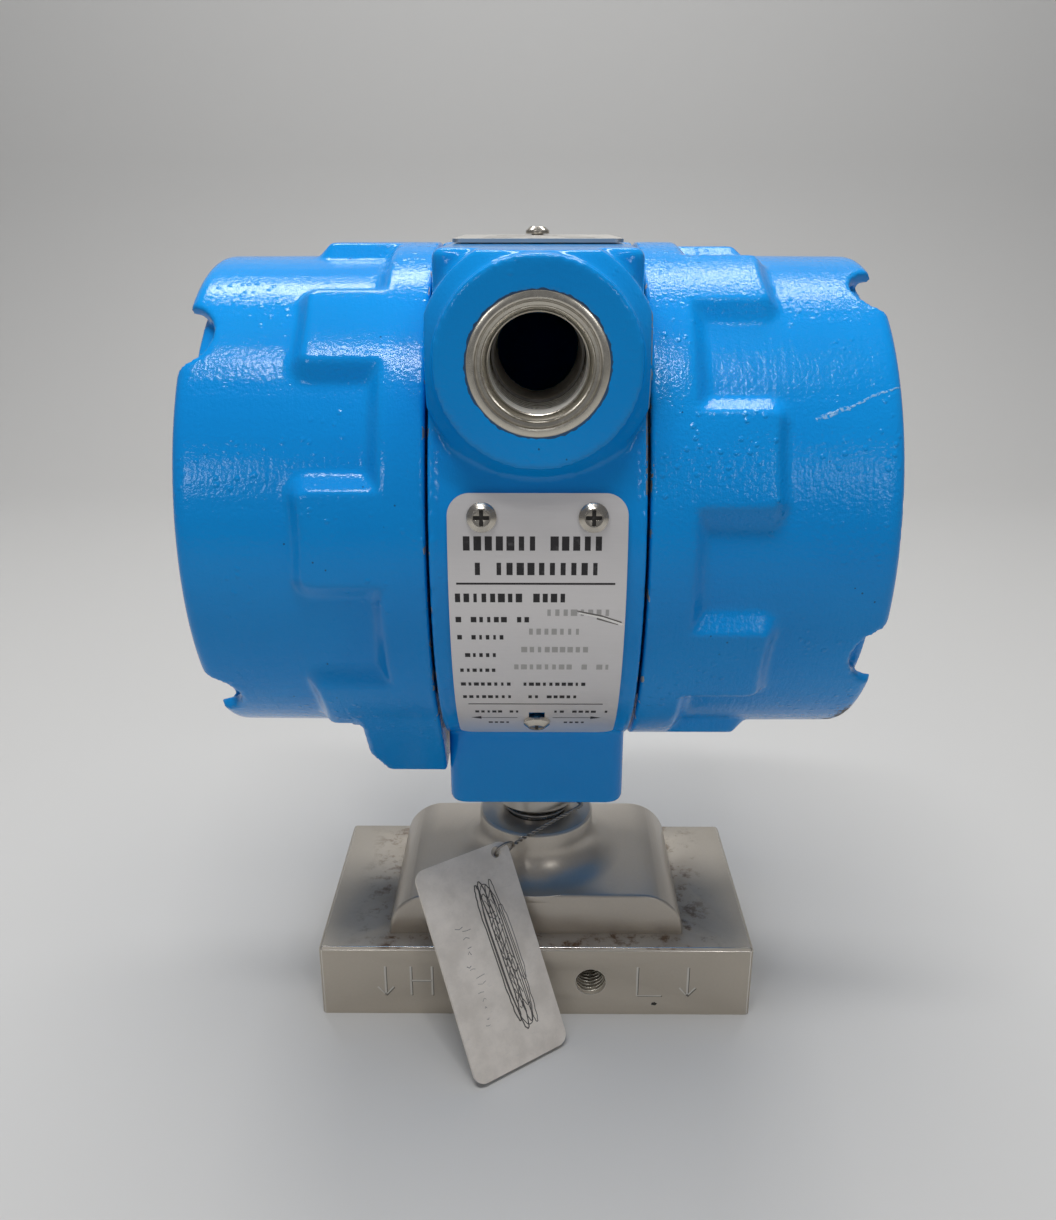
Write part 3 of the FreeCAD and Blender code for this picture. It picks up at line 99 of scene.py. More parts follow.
class Wire:
    """A node's output that takes part in sums; each operator adds one Math node."""

    __add__ = __radd__ = maths("ADD")
    __sub__ = maths("SUBTRACT")
    __rsub__ = maths("SUBTRACT", swapped=True)
    __mul__ = __rmul__ = maths("MULTIPLY")
    __truediv__ = maths("DIVIDE")
    __pow__ = maths("POWER")
    __lt__ = maths("LESS_THAN")
    __gt__ = maths("GREATER_THAN")
    most = maths("MAXIMUM")

    def __init__(self, board, socket):
        self.board = board
        self.socket = socket

    def sum(self, operation, *values):
        return self.board.node("ShaderNodeMath", {"operation": operation}, dict(enumerate(values)))

    def __abs__(self):
        return self.sum("ABSOLUTE", self)

    def rise(self, low, high):
        """0 below low, 1 above high and a smooth step between; low may be above high."""
        return self.board.node("ShaderNodeMapRange", {"interpolation_type": "SMOOTHSTEP"},
                               {"Value": self, "From Min": low, "From Max": high})


class Board:
    """A node tree to which one method adds any node."""

    def __init__(self, tree):
        self.tree = tree

    def put(self, socket, value):
        """Link a wire to a socket, or set a constant on it."""
        if isinstance(value, Wire):
            self.tree.links.new(value.socket, socket)
        else:
            socket.default_value = value

    def node(self, kind, settings=None, values=None, output=0):
        node = self.tree.nodes.new(kind)
        for name, setting in (settings or {}).items():
            setattr(node, name, setting)
        for name, value in (values or {}).items():
            self.put(node.inputs[name], value)
        return Wire(self, node.outputs[output])

    def parts(self, vector):
        """The three coordinates of a vector as wires."""
        node = self.tree.nodes.new("ShaderNodeSeparateXYZ")
        self.put(node.inputs[0], vector)
        return [Wire(self, socket) for socket in node.outputs]


class Finish(Board):
    """A procedural material with one Principled shader."""

    def __init__(self, name, **constants):
        self.material = bpy.data.materials.new(name)
        self.material.use_nodes = True
        super().__init__(self.material.node_tree)
        self.tree.nodes.clear()
        self.shader = self.tree.nodes.new("ShaderNodeBsdfPrincipled")
        output = self.tree.nodes.new("ShaderNodeOutputMaterial")
        self.tree.links.new(self.shader.outputs[0], output.inputs["Surface"])
        self.place = self.node("ShaderNodeTexCoord", output="Object")
        self.feed(**constants)

    def feed(self, **values):
        """Set or link the shader's sockets; base_color stands for Base Color."""
        for name, value in values.items():
            socket = self.shader.inputs[name.replace("_", " ").title().replace("Ior", "IOR")]
            self.put(socket, colour(value) if isinstance(value, tuple) else value)

    def stretched(self, x, y, z):
        return self.node("ShaderNodeVectorMath", {"operation": "MULTIPLY"},
                         {0: self.place, 1: (x, y, z)})

    def noise(self, scale, detail=2.0, place=None, roughness=0.5):
        """Soft noise from 0 to 1; scale is in features a metre."""
        return self.node("ShaderNodeTexNoise", None, {
            "Vector": place or self.place, "Scale": scale, "Detail": detail, "Roughness": roughness})

    def cells(self, scale, feature="F1"):
        """Distance to the nearest of scattered points, or to the edge between two."""
        return self.node("ShaderNodeTexVoronoi", {"feature": feature},
                         {"Vector": self.place, "Scale": scale}, "Distance")

    def mix(self, factor, first, second):
        """Blend two colours, each a tuple or a wire."""
        pair = [value if isinstance(value, Wire) else colour(value) for value in (first, second)]
        return self.node("ShaderNodeMix", {"data_type": "RGBA"}, {0: factor, 6: pair[0], 7: pair[1]}, 2)

    def bump(self, height, distance, strength):
        """A normal from a height, where 1 stands for the distance."""
        return self.node("ShaderNodeBump", None,
                         {"Height": height, "Distance": distance, "Strength": strength})

    def spot(self, centre, radius, ragged=0.5, scale=900.0):
        """1 inside a ragged patch round a point, 0 outside."""
        away = self.node("ShaderNodeVectorMath", {"operation": "DISTANCE"},
                         {0: self.place, 1: tuple(centre)}, "Value")
        edge = away + (self.noise(scale, 3.0) - 0.5) * (radius * ragged * 4)
        return edge.rise(radius * 1.1, radius * 0.9)

    def stroke(self, start, end, outward, width, waver=0.0):
        """1 along a thin line drawn on a surface that faces outward."""
        run = Vector(end) - Vector(start)
        along = run.normalized()
        aside = along.cross(Vector(outward)).normalized()
        spread = (self.noise(260.0, 3.0) - 0.5) * waver
        off = abs(self.reach(start, aside) + spread)
        passed = self.reach(start, along)
        inside = (passed > 0.0) * (passed < run.length)
        near = self.reach(start, Vector(outward).normalized()) > -STROKE_SAG
        return off.rise(width, width * 0.4) * inside * near

    def reach(self, origin, direction):
        """Signed distance from a point along a direction."""
        offset = Vector(direction).dot(Vector(origin))
        dot = self.node("ShaderNodeVectorMath", {"operation": "DOT_PRODUCT"},
                        {0: self.place, 1: tuple(direction)}, "Value")
        return dot - offset


class Recipe(Board):
    """A Geometry Nodes tree with named inputs, baked to a plain mesh by make."""

    def __init__(self, name):
        super().__init__(bpy.data.node_groups.new(name, "GeometryNodeTree"))
        self.inputs = {}
        self.tree.interface.new_socket("Geometry", in_out="OUTPUT", socket_type="NodeSocketGeometry")

    def take(self, kind, *names):
        """Add named inputs of one kind; a list of their wires."""
        for name in names:
            item = self.tree.interface.new_socket(name, in_out="INPUT", socket_type="NodeSocket" + kind)
            self.inputs[name] = item.identifier
        return [self.node("NodeGroupInput", output=name) for name in names]

    def join(self, **coordinates):
        """A vector from its X, Y and Z."""
        return self.node("ShaderNodeCombineXYZ", None, coordinates)

    def close(self, geometry, material):
        """End the tree: instances made real, one material set."""
        real = self.node("GeometryNodeRealizeInstances", None, {0: geometry})
        done = self.node("GeometryNodeSetMaterial", None, {"Geometry": real, "Material": material})
        output = self.tree.nodes.new("NodeGroupOutput")
        self.tree.links.new(done.socket, output.inputs[0])

    def make(self, name, **values):
        """Run the tree once and keep the result as a plain mesh object."""
        holder = new_object(name, bpy.data.meshes.new(name))
        modifier = holder.modifiers.new("Recipe", "NODES")
        modifier.node_group = self.tree
        for label, value in values.items():
            modifier[self.inputs[label]] = value
        apply(holder)
        return holder


def colour(value):
    return tuple(value) + (1.0,) if len(value) == 3 else tuple(value)


def new_object(name, data):
    item = bpy.data.objects.new(name, data)
    bpy.context.scene.collection.objects.link(item)
    return item


def baked(item):
    """The object's mesh with its modifiers applied."""
    graph = bpy.context.evaluated_depsgraph_get()
    return bpy.data.meshes.new_from_object(item.evaluated_get(graph), depsgraph=graph)


def apply(piece):
    """Run the piece's modifiers and keep the result as its plain mesh."""
    plain = baked(piece)
    piece.modifiers.clear()
    piece.data = plain


def mesh_piece(name, vertices, faces, material, smooth=True):
    """A mesh object from lists of points and faces."""
    mesh = bpy.data.meshes.new(name)
    mesh.from_pydata(vertices, [], faces)
    mesh.materials.append(material)
    for face in mesh.polygons:
        face.use_smooth = smooth
    return new_object(name, mesh)


def fit(piece, body, slot):
    """Let a finished piece ride on a body; the slot is not used."""
    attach(piece, body)
    return piece


def on_barrel(x, degrees, radius=BARREL_RADIUS / MM):
    """A point on the covers' barrel: mm from the middle, degrees above the front, radius in mm."""
    angle = radians(degrees)
    return Vector((x, -radius * cos(angle), AXIS / MM + radius * sin(angle))) * MM


# Finishes

PRIMER = (0.50, 0.42, 0.33)
SOOT = (0.03, 0.026, 0.022)
BARE_DARK = (0.34, 0.31, 0.26)
BARE_PALE = (0.66, 0.62, 0.54)
SCRATCHED = (0.36, 0.58, 0.78)


def most(masks):
    """The largest of several masks."""
    result = masks[0]
    for mask in masks[1:]:
        result = result.most(mask)
    return result


class Enamel(Finish):
    """Glossy enamel over a rough casting, with chips, scratches and zones of bare metal."""

    def __init__(self, name):
        super().__init__(name, ior=1.5, specular_ior_level=0.28)
        x, y, z = self.parts(self.place)
        rise, entry_rise = z - AXIS, z - ENTRY.z
        self.side = x
        self.across = abs(x)
        self.height = z
        self.depth = y
        self.radius = (y * y + rise * rise) ** 0.5
        self.entry_radius = (x * x + entry_rise * entry_rise) ** 0.5
        self.neck_radius = (x * x + y * y) ** 0.5

    def bare_edge(self, reach, edge, width):
        """A broken ragged strip without paint, past an edge at a distance along an axis."""
        strip = reach > edge - self.noise(500.0, 2.0) * (width * 2)
        return strip * (self.noise(300.0, 2.0) > 0.62)

    def finish(self, bare, chips=(), dark=(), scratches=(), grain=1.0):
        """Feed the shader; bare, chips, dark and scratches are masks from 0 to 1."""
        paint = bpy.context.scene.transmitter_paint
        base = self.mix(self.noise(28.0, 3.0), tuple(paint.shade), tuple(paint.lit))
        specks = (self.cells(330.0) < 0.07) * (self.noise(55.0, 1.0) > 0.62)
        base = self.mix(specks * 0.7, base, (0.01, 0.02, 0.035))
        height = self.noise(paint.grain_scale, 2.0, roughness=0.55) * grain
        runs = self.noise(1.0, 2.0, self.stretched(900.0, 130.0, 130.0))
        drops = self.cells(420.0).rise(0.32, 0.08) * self.noise(60.0, 1.0).rise(0.5, 0.66)
        height = height + runs * (0.8 * grain) + drops * (1.3 * grain)
        base = self.mix(bare, base, self.mix(self.noise(700.0, 2.0), BARE_DARK, BARE_PALE))
        lost = shiny = bare
        if scratches:
            line = most(scratches) * self.noise(1500.0, 2.0).rise(0.38, 0.58)
            base = self.mix(line * 0.7, base, SCRATCHED)
            height = height + line * 0.8
        if chips:
            chip = most(chips)
            base = self.mix(chip, base, PRIMER)
            lost = lost.most(chip)
        if dark:
            soot = most(dark)
            base = self.mix(soot, base, SOOT)
            lost = lost.most(soot)
            shiny = bare * (1.0 - soot)
        painted = 1.0 - lost
        coat = painted * 0.6  # the paint's own thickness, in the same unit as the grain
        normal = self.bump(height * painted + coat, 0.10 * MM, paint.peel)
        self.feed(base_color=base, metallic=shiny * 0.85, roughness=0.46 - painted * 0.33, normal=normal)
        return self.material


def cover_enamel(side):
    """Enamel of one cover: its thread and mouth are bare, its damage is its own."""
    finish = Enamel("enamel_cover_" + side)
    inside = (finish.radius < BORE) * (finish.across < MOUTH + 45 * MM)
    rubbed = finish.bare_edge(finish.across * -1.0, -MOUTH, 0.4 * MM)
    bare = inside.most(rubbed)
    if side == "right":
        chips = [finish.spot(on_barrel(43, -19.2), 1.0 * MM), finish.spot(on_barrel(41.8, -20.8), 0.7 * MM)]
        dark = [finish.spot(on_barrel(x, angle, 56.4), radius * MM, 0.8)
                for x, angle, radius in ((73.2, -49, 2.6), (72.6, -54, 2.2), (70.8, -59, 1.4),
                                         (67.5, -61, 0.8))]
        outward = on_barrel(0, 33, 1) - on_barrel(0, 33, 0)
        scratches = [finish.stroke(on_barrel(*start), on_barrel(*end), outward, width * MM, waver * MM)
                     for start, end, width, waver in (((56.4, 28.8), (73.8, 36.6), 0.30, 2.4),
                                                      ((56.0, 28.4), (62.5, 31.5), 0.70, 2.6))]
        return finish.finish(bare, chips, dark, scratches, grain=1.7)
    chips = [finish.spot(place, radius * MM) for place, radius in (
        (Vector((-31, -58, AXIS / MM - 33)) * MM, 0.8), (on_barrel(-47, -44, 57.5), 0.6),
        (on_barrel(-28, -49, RING_RADIUS / MM), 0.7))]
    return finish.finish(bare, chips)


def housing_enamel():
    """Enamel of the housing: its turned collars, entry ring and neck bore are bare."""
    finish = Enamel("enamel_housing")
    collar = (finish.across > 22.2 * MM) * (finish.radius < 51 * MM)
    entry = (finish.entry_radius < ENTRY_RING + 0.05 * MM) * (finish.depth < ENTRY_FACE + 50 * MM)
    neck = (finish.neck_radius < 10.5 * MM) * (finish.height < 90 * MM)
    speckle = finish.noise(900.0, 2.0) > 0.42
    worn_side = (finish.side > 21.4 * MM) * (finish.height > ENTRY.z - 26 * MM) * speckle
    rubbed = finish.bare_edge(finish.across, 21.95 * MM, 0.3 * MM)
    bare = most([collar, entry, neck, worn_side, rubbed])
    ragged = finish.noise(600.0, 3.0) * (1.1 * MM)
    outline = (finish.entry_radius > ENTRY_RING) * (finish.entry_radius < ragged + (ENTRY_RING - 0.15 * MM))
    outline = outline * (finish.depth < ENTRY_FACE + 3 * MM)
    chips = [finish.spot(Vector(point) * MM, radius * MM, 0.8) for point, radius in (
        ((-21.3, -56, 174), 0.8), ((21.4, -50, 186), 0.8), ((-17.6, -61, 186.5), 0.6),
        ((20.4, -60, 165), 0.6))]
    return finish.finish(bare, chips, [outline * 0.8], grain=0.6)


def metal(name, dark, pale, rough=0.35, lines=None, grain=0.25, stains=None, **constants):
    """Bare metal: fine grain or drawn lines, uneven polish and optional stains from a rule."""
    finish = Finish(name, **{"metallic": 1.0, **constants})
    place = finish.stretched(*lines) if lines else None
    fine = finish.noise(1.0 if lines else 1400.0, 3.0, place)
    blotch = finish.noise(45.0, 4.0, roughness=0.6)
    base = finish.mix(fine * 0.4 + blotch * 0.6, dark, pale)
    roughness = blotch * 0.2 + fine * 0.1 + (rough - 0.15)
    if stains is not None:
        mask, shade = stains(finish)
        base = finish.mix(mask, base, shade)
        roughness = roughness + mask * 0.25
    finish.feed(base_color=base, roughness=roughness, normal=finish.bump(fine, 0.05 * MM, grain))
    return finish.material


def turned_steel():
    """Bright steel with the fine rings of a lathe, made once."""
    return bpy.data.materials.get("turned_steel") or metal(
        "turned_steel", (0.50, 0.47, 0.40), (0.74, 0.70, 0.62), 0.25, (900.0, 60.0, 900.0), 0.3)


def moulded(name, base, pale, rough):
    """Moulded plastic or rubber with a fine matte skin."""
    finish = Finish(name)
    skin = finish.noise(1800.0, 2.0)
    finish.feed(base_color=finish.mix(finish.noise(90.0, 3.0), base, pale),
                roughness=skin * 0.2 + (rough - 0.1), normal=finish.bump(skin, 0.04 * MM, 0.4))
    return finish.material


def block_stains(finish):
    """Brown water marks on the block's upper face, thickest along the module."""
    x, _, z = finish.parts(finish.place)
    upper = z > BLOCK_HIGH.z - 0.4 * MM
    near = abs(x).rise(54 * MM, 38 * MM)
    spots = finish.noise(220.0, 6.0, roughness=0.75).rise(0.5, 0.66)
    film = finish.noise(40.0, 3.0).rise(0.45, 0.7) * 0.35
    return (spots * 0.7 + film) * near * upper, (0.17, 0.10, 0.055)


def laminate():
    """Green circuit board with fine copper tracks under its resist."""
    finish = Finish("board_laminate", ior=1.45, coat_weight=0.3)
    steps = finish.node("ShaderNodeTexVoronoi", {"distance": "MANHATTAN", "feature": "F1"},
                        {"Vector": finish.place, "Scale": 260.0}, "Color")
    tracks = finish.cells(260.0, "DISTANCE_TO_EDGE") < 0.06
    base = finish.mix(tracks * 0.5, (0.02, 0.16, 0.06), (0.10, 0.36, 0.13))
    base = finish.mix(finish.node("ShaderNodeRGBToBW", None, {0: steps}) * 0.15, base, (0.01, 0.10, 0.04))
    finish.feed(base_color=base, roughness=0.35, normal=finish.bump(tracks, 0.03 * MM, 0.6))
    return finish.material


def tag_steel():
    """Dull handled sheet steel: smudges and fine scratches."""
    finish = Finish("tag_steel", metallic=0.55)
    fine = finish.noise(2200.0, 2.0)
    smudge = finish.noise(110.0, 5.0, roughness=0.65)
    hairs = finish.noise(1.0, 2.0, finish.stretched(300.0, 900.0, 2400.0)).rise(0.6, 0.75)
    base = finish.mix(smudge.rise(0.3, 0.7), (0.76, 0.705, 0.64), (0.91, 0.85, 0.78))
    base = finish.mix(hairs * 0.3, base, (0.70, 0.67, 0.63))
    finish.feed(base_color=base, roughness=smudge * 0.15 + 0.45,
                normal=finish.bump(fine + hairs, 0.04 * MM, 0.5))
    return finish.material


def ink(name, shade, rough=0.5):
    """Printed or scratched line: one colour, worn thin in places."""
    finish = Finish(name)
    worn = finish.noise(900.0, 2.0)
    thin = tuple(channel * 0.5 + 0.2 for channel in shade)
    finish.feed(base_color=finish.mix(worn.rise(0.55, 0.9) * 0.35, shade, thin), roughness=worn * 0.2 + rough)
    return finish.material


# Drawing on surfaces; each place turns distances along a surface in mm into a point

def on_plate(across, up, lift):
    """Name plate: up is the arc length above the axis's height."""
    radius, angle = PLATE_FACE + lift * MM, up * MM / PLATE_FACE
    return Vector((across * MM, -radius * cos(angle), AXIS + radius * sin(angle)))


def on_front(across, up, lift):
    return Vector((across * MM, BLOCK_LOW.y - lift * MM, up * MM))


def on_lid(across, up, lift):
    return Vector((across * MM, up * MM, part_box("top_plate")[1].z + lift * MM))


def tag_directions():
    """Across, up and out of the tag's front face."""
    turn, lean = radians(TAG_TURN), radians(TAG_LEAN)
    right = Vector((cos(turn), sin(turn), 0))
    rise = Vector((-sin(turn) * cos(lean), cos(turn) * cos(lean), sin(lean)))
    return right, rise, right.cross(rise)


def on_tag(across, up, lift):
    """Tag: from its middle, across and up its own face."""
    right, rise, out = tag_directions()
    return TAG_MIDDLE + (right * across + rise * up + out * (TAG_THICK / 2 + lift)) * MM


RIDES = {on_plate: ("head", "plate_metal"), on_front: ("base", "block_steel"),
         on_lid: ("lid_plate", "top_plate_metal"), on_tag: ("hang_tag", "tag_steel")}


def draw(name, place, strokes, patches, material, lift=0.02, ride=None):
    """Flat strokes and patches a hair above a surface, riding on the body below it.

    A stroke is (points, width) or (points, width, end width); a patch is a list of corners.
    """
    points, faces = [], []
    for stroke in strokes:
        line, first, last = stroke[0], stroke[1], stroke[-1]
        for index, (u, v) in enumerate(line):
            before, after = line[max(index - 1, 0)], line[min(index + 1, len(line) - 1)]
            run = Vector((after[0] - before[0], after[1] - before[1])).normalized()
            half = (first + (last - first) * index / (len(line) - 1)) / 2
            points += [place(u - run.y * half * side, v + run.x * half * side, lift) for side in (1, -1)]
            if index:
                end = len(points)
                faces.append((end - 4, end - 3, end - 1, end - 2))
    for patch in patches:
        start = len(points)
        points += [place(u, v, lift) for u, v in patch]
        faces.append(tuple(range(start, len(points))))
    return fit(mesh_piece(name, points, faces, material, smooth=False), *(ride or RIDES[place]))


# Sizes and colours that a user may change

class TransmitterPaint(bpy.types.PropertyGroup):
    """Colours and surface of the enamel, and the softness of the castings' edges."""

    lit: bpy.props.FloatVectorProperty(
        name="Light enamel", description="Colour of the enamel where it lies thick", subtype="COLOR",
        size=3, min=0.0, max=1.0, default=(0.004, 0.312, 0.79))
    shade: bpy.props.FloatVectorProperty(
        name="Deep enamel", description="Colour of the enamel where it lies thin", subtype="COLOR",
        size=3, min=0.0, max=1.0, default=(0.002, 0.232, 0.66))
    peel: bpy.props.FloatProperty(
        name="Roughness of the casting", description="How strongly the grain shows through the enamel",
        subtype="FACTOR", min=0.0, max=1.0, default=0.75)
    grain_scale: bpy.props.FloatProperty(
        name="Grain", description="Grains of the casting in a metre", min=10.0, max=3000.0, default=1300.0)
    edge: bpy.props.FloatProperty(
        name="Edge radius", description="Radius of the castings' edges under the paint",
        subtype="DISTANCE", unit="LENGTH", min=0.0, max=0.003, default=0.0010)
    skin: bpy.props.FloatProperty(
        name="Skin", description="Fineness of the castings' skin", subtype="DISTANCE", unit="LENGTH",
        min=0.0004, max=0.003, default=0.00072)
    metal_edge: bpy.props.FloatProperty(
        name="Machined edge", description="Width of the broken edges of the machined block",
        subtype="DISTANCE", unit="LENGTH", min=0.0, max=0.002, default=0.0003)


class TransmitterStage(bpy.types.PropertyGroup):
    """Camera, lamps and floor."""

    camera_place: bpy.props.FloatVectorProperty(
        name="Camera", description="Where the camera stands", subtype="TRANSLATION", unit="LENGTH",
        size=3, default=(-0.0006, -0.267, 0.202))
    camera_tilt: bpy.props.FloatProperty(
        name="Tilt", description="How far the camera looks down", subtype="ANGLE", unit="ROTATION",
        default=radians(20.05))
    camera_turn: bpy.props.FloatProperty(
        name="Turn", description="How far the camera is turned to the left", subtype="ANGLE", unit="ROTATION",
        default=radians(0.36))
    lens: bpy.props.FloatProperty(
        name="Lens", description="Focal length in millimetres", min=10.0, max=200.0, default=31.92)
    floor: bpy.props.FloatVectorProperty(
        name="Floor", description="Colour of the floor and backdrop", subtype="COLOR",
        size=3, min=0.0, max=1.0, default=(0.53, 0.526, 0.515))
    room: bpy.props.FloatProperty(
        name="Room light", description="Strength of the soft light from all round", min=0.0, max=2.0,
        default=0.165)


# Operators

def merged_copy(node, material, flat=None):
    """A copy of a CAD part with its faces joined; flat also joins faces within that angle."""
    mesh = NODES[node].data.copy()
    shape = bmesh.new()
    shape.from_mesh(mesh)
    bmesh.ops.remove_doubles(shape, verts=shape.verts, dist=1e-6)
    if flat is not None:
        bmesh.ops.dissolve_limit(shape, angle_limit=flat, verts=shape.verts, edges=shape.edges)
    shape.to_mesh(mesh)
    shape.free()
    if "custom_normal" in mesh.attributes:
        mesh.attributes.remove(mesh.attributes["custom_normal"])
    mesh.materials.clear()
    mesh.materials.append(material)
    return new_object(node + "_casting", mesh)


def stand_for(piece, node, sharp=None):
    """Shade a piece smooth, save at edges past the sharp angle, and let it stand for a CAD part."""
    for face in piece.data.polygons:
        face.use_smooth = True
    if sharp is not None:
        piece.data.set_sharp_from_angle(angle=sharp)
    slot = NODES[node].data.materials[0].name.split(".")[0]
    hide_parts(node)
    return fit(piece, BODY_OF[node], slot)


def softened(node, width, material, worn=None, segments=3):
    """A copy of a CAD part with its sharp edges broken, in the worn metal where one is given."""
    piece = merged_copy(node, material, radians(0.5))
    bevel = piece.modifiers.new("Soft edges", "BEVEL")
    bevel.width = width
    bevel.segments = segments
    bevel.limit_method = "ANGLE"
    bevel.angle_limit = radians(25)
    bevel.miter_outer = "MITER_ARC"
    if worn is not None:
        piece.data.materials.append(worn)
        bevel.material = 1
    apply(piece)
    return stand_for(piece, node, radians(30) if worn is not None else None)


def free_wells(mesh):
    """Widen the two button wells in the deck by a hair, so the pins move free of the cast skin."""
    for low, high in (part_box("zero_button"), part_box("span_button")):
        axis = (low + high) / 2
        floor = low.z - WELL_DEPTH
        for vertex in mesh.vertices:
            across = Vector((vertex.co.x - axis.x, vertex.co.y - axis.y, 0.0))
            if across.length < WELL_REACH and floor - WELL_BAND < vertex.co.z < high.z:
                if vertex.co.z < floor + WELL_BAND:
                    vertex.co.z -= WELL_DROP
                vertex.co += across.normalized() * WELL_WIDENING


def cast_skin(node, material, grain, rounds, turned):
    """A sand-cast skin over a CAD part, its edges and feet rounded where turned is False."""
    piece = merged_copy(node, material)
    skin = piece.modifiers.new("Skin", "REMESH")
    skin.mode = "VOXEL"
    skin.voxel_size = grain
    apply(piece)
    cast, kept = piece.vertex_groups.new(name="cast"), piece.vertex_groups.new(name="turned")
    for vertex in piece.data.vertices:
        keep = turned(vertex.co)
        kept.add([vertex.index], float(keep), "REPLACE")
        if not keep:
            cast.add([vertex.index], 1.0, "REPLACE")
    smooth = piece.modifiers.new("Rounding", "SMOOTH")
    smooth.iterations = rounds
    smooth.factor = 0.5
    smooth.vertex_group = "cast"
    faces = 2 * len(piece.data.polygons)
    if faces > MOST_FACES:
        thin = piece.modifiers.new("Thinning", "DECIMATE")
        thin.ratio = MOST_FACES / faces
        thin.vertex_group = "turned"
        thin.vertex_group_factor = 30.0
    apply(piece)
    piece.vertex_groups.clear()
    if node == "housing":
        free_wells(piece.data)
    return stand_for(piece, node)


def turned_on_cover(place):
    """True in a cover's mouth and inside it."""
    return abs(place.x) < MOUTH + 1.2 * MM or hypot(place.y, place.z - AXIS) < 52 * MM


def turned_on_housing(place):
    """True on the housing's collars, inside it and round its entry."""
    entry = hypot(place.x, place.z - ENTRY.z) < ENTRY_RING + MM and place.y < 0
    return entry or hypot(place.y, place.z - AXIS) < BORE


class CastEnclosure(bpy.types.Operator):
    """Cast the covers and the housing with soft edges and paint them"""

    bl_idname = "transmitter.castings"
    bl_label = "Castings"

    def execute(self, context):
        paint = context.scene.transmitter_paint
        rounds = round((paint.edge / paint.skin) ** 2 * 2)
        cast_skin("cover_left", cover_enamel("left"), paint.skin, rounds, turned_on_cover)
        cast_skin("cover_right", cover_enamel("right"), paint.skin, rounds, turned_on_cover)
        cast_skin("housing", housing_enamel(), paint.skin, rounds, turned_on_housing)
        return {"FINISHED"}


class FinishBlock(bpy.types.Operator):
    """Break the edges of the process block and the sensor module and give them their steels"""

    bl_idname = "transmitter.block"
    bl_label = "Block and module"

    def execute(self, context):
        edge = context.scene.transmitter_paint.metal_edge
        bright = metal("worn_edge", (0.62, 0.58, 0.52), (0.86, 0.83, 0.77), 0.22)
        block = metal("block_steel", (0.45, 0.402, 0.335), (0.59, 0.535, 0.455), 0.55, grain=0.3,
                      stains=block_stains, metallic=0.5)
        module = metal("module_steel", (0.47, 0.425, 0.365), (0.62, 0.565, 0.495), 0.36, grain=0.35,
                       metallic=0.7)
        softened("process_block", edge, block, bright, 2)
        softened("sensor_module", edge, module, bright, 2)
        return {"FINISHED"}


METALS = {  # dark and pale colour, roughness, drawn lines' scales, grain
    "fastener_steel": ((0.30, 0.29, 0.27), (0.52, 0.50, 0.47), 0.35),
    "diaphragm_steel": ((0.50, 0.49, 0.47), (0.68, 0.67, 0.65), 0.25),
    "stem_steel": ((0.28, 0.26, 0.24), (0.44, 0.41, 0.38), 0.28),
    "nut_steel": ((0.40, 0.38, 0.34), (0.62, 0.59, 0.54), 0.30),
    "top_plate_metal": ((0.50, 0.48, 0.45), (0.66, 0.64, 0.60), 0.45, (200.0, 2200.0, 2200.0), 0.2),
    "screw_steel": ((0.44, 0.40, 0.34), (0.70, 0.66, 0.59), 0.24),
    "button_steel": ((0.40, 0.39, 0.37), (0.62, 0.61, 0.59), 0.3),
    "terminal_brass": ((0.52, 0.36, 0.14), (0.74, 0.56, 0.27), 0.3),
}
PLASTICS = {  # deep and pale colour, roughness
    "black_plastic": ((0.015, 0.015, 0.016), (0.03, 0.03, 0.032), 0.45),
    "board_plastic": ((0.02, 0.02, 0.022), (0.06, 0.06, 0.065), 0.4),
    "terminal_plastic": ((0.025, 0.026, 0.028), (0.05, 0.05, 0.054), 0.42),
    "seal_rubber": ((0.010, 0.010, 0.010), (0.022, 0.021, 0.020), 0.6),
}


class FinishNodes(bpy.types.Operator):
    """Give every part that keeps its own shape its finish, and soften the screws' heads"""

    bl_idname = "transmitter.nodes"
    bl_label = "Small parts"

    def execute(self, context):
        finishes = {name: metal(name, *values) for name, values in METALS.items()}
        finishes.update({name: moulded(name, *values) for name, values in PLASTICS.items()})
        finishes["plate_metal"] = metal("plate_metal", (0.70, 0.68, 0.68), (0.80, 0.78, 0.78), 0.42,
                                        (160.0, 2600.0, 2600.0), 0.12, metallic=0.6)
        finishes["board_laminate"] = laminate()
        finishes["tag_steel"] = tag_steel()
        for node in NODES.values():
            slot = node.data.materials[0].name
            if slot in finishes:
                node.data.materials[0] = finishes[slot]
        for name in ("name_plate_screws", "top_plate_screw"):
            softened(name, SCREW_EDGE, finishes["screw_steel"])
        return {"FINISHED"}


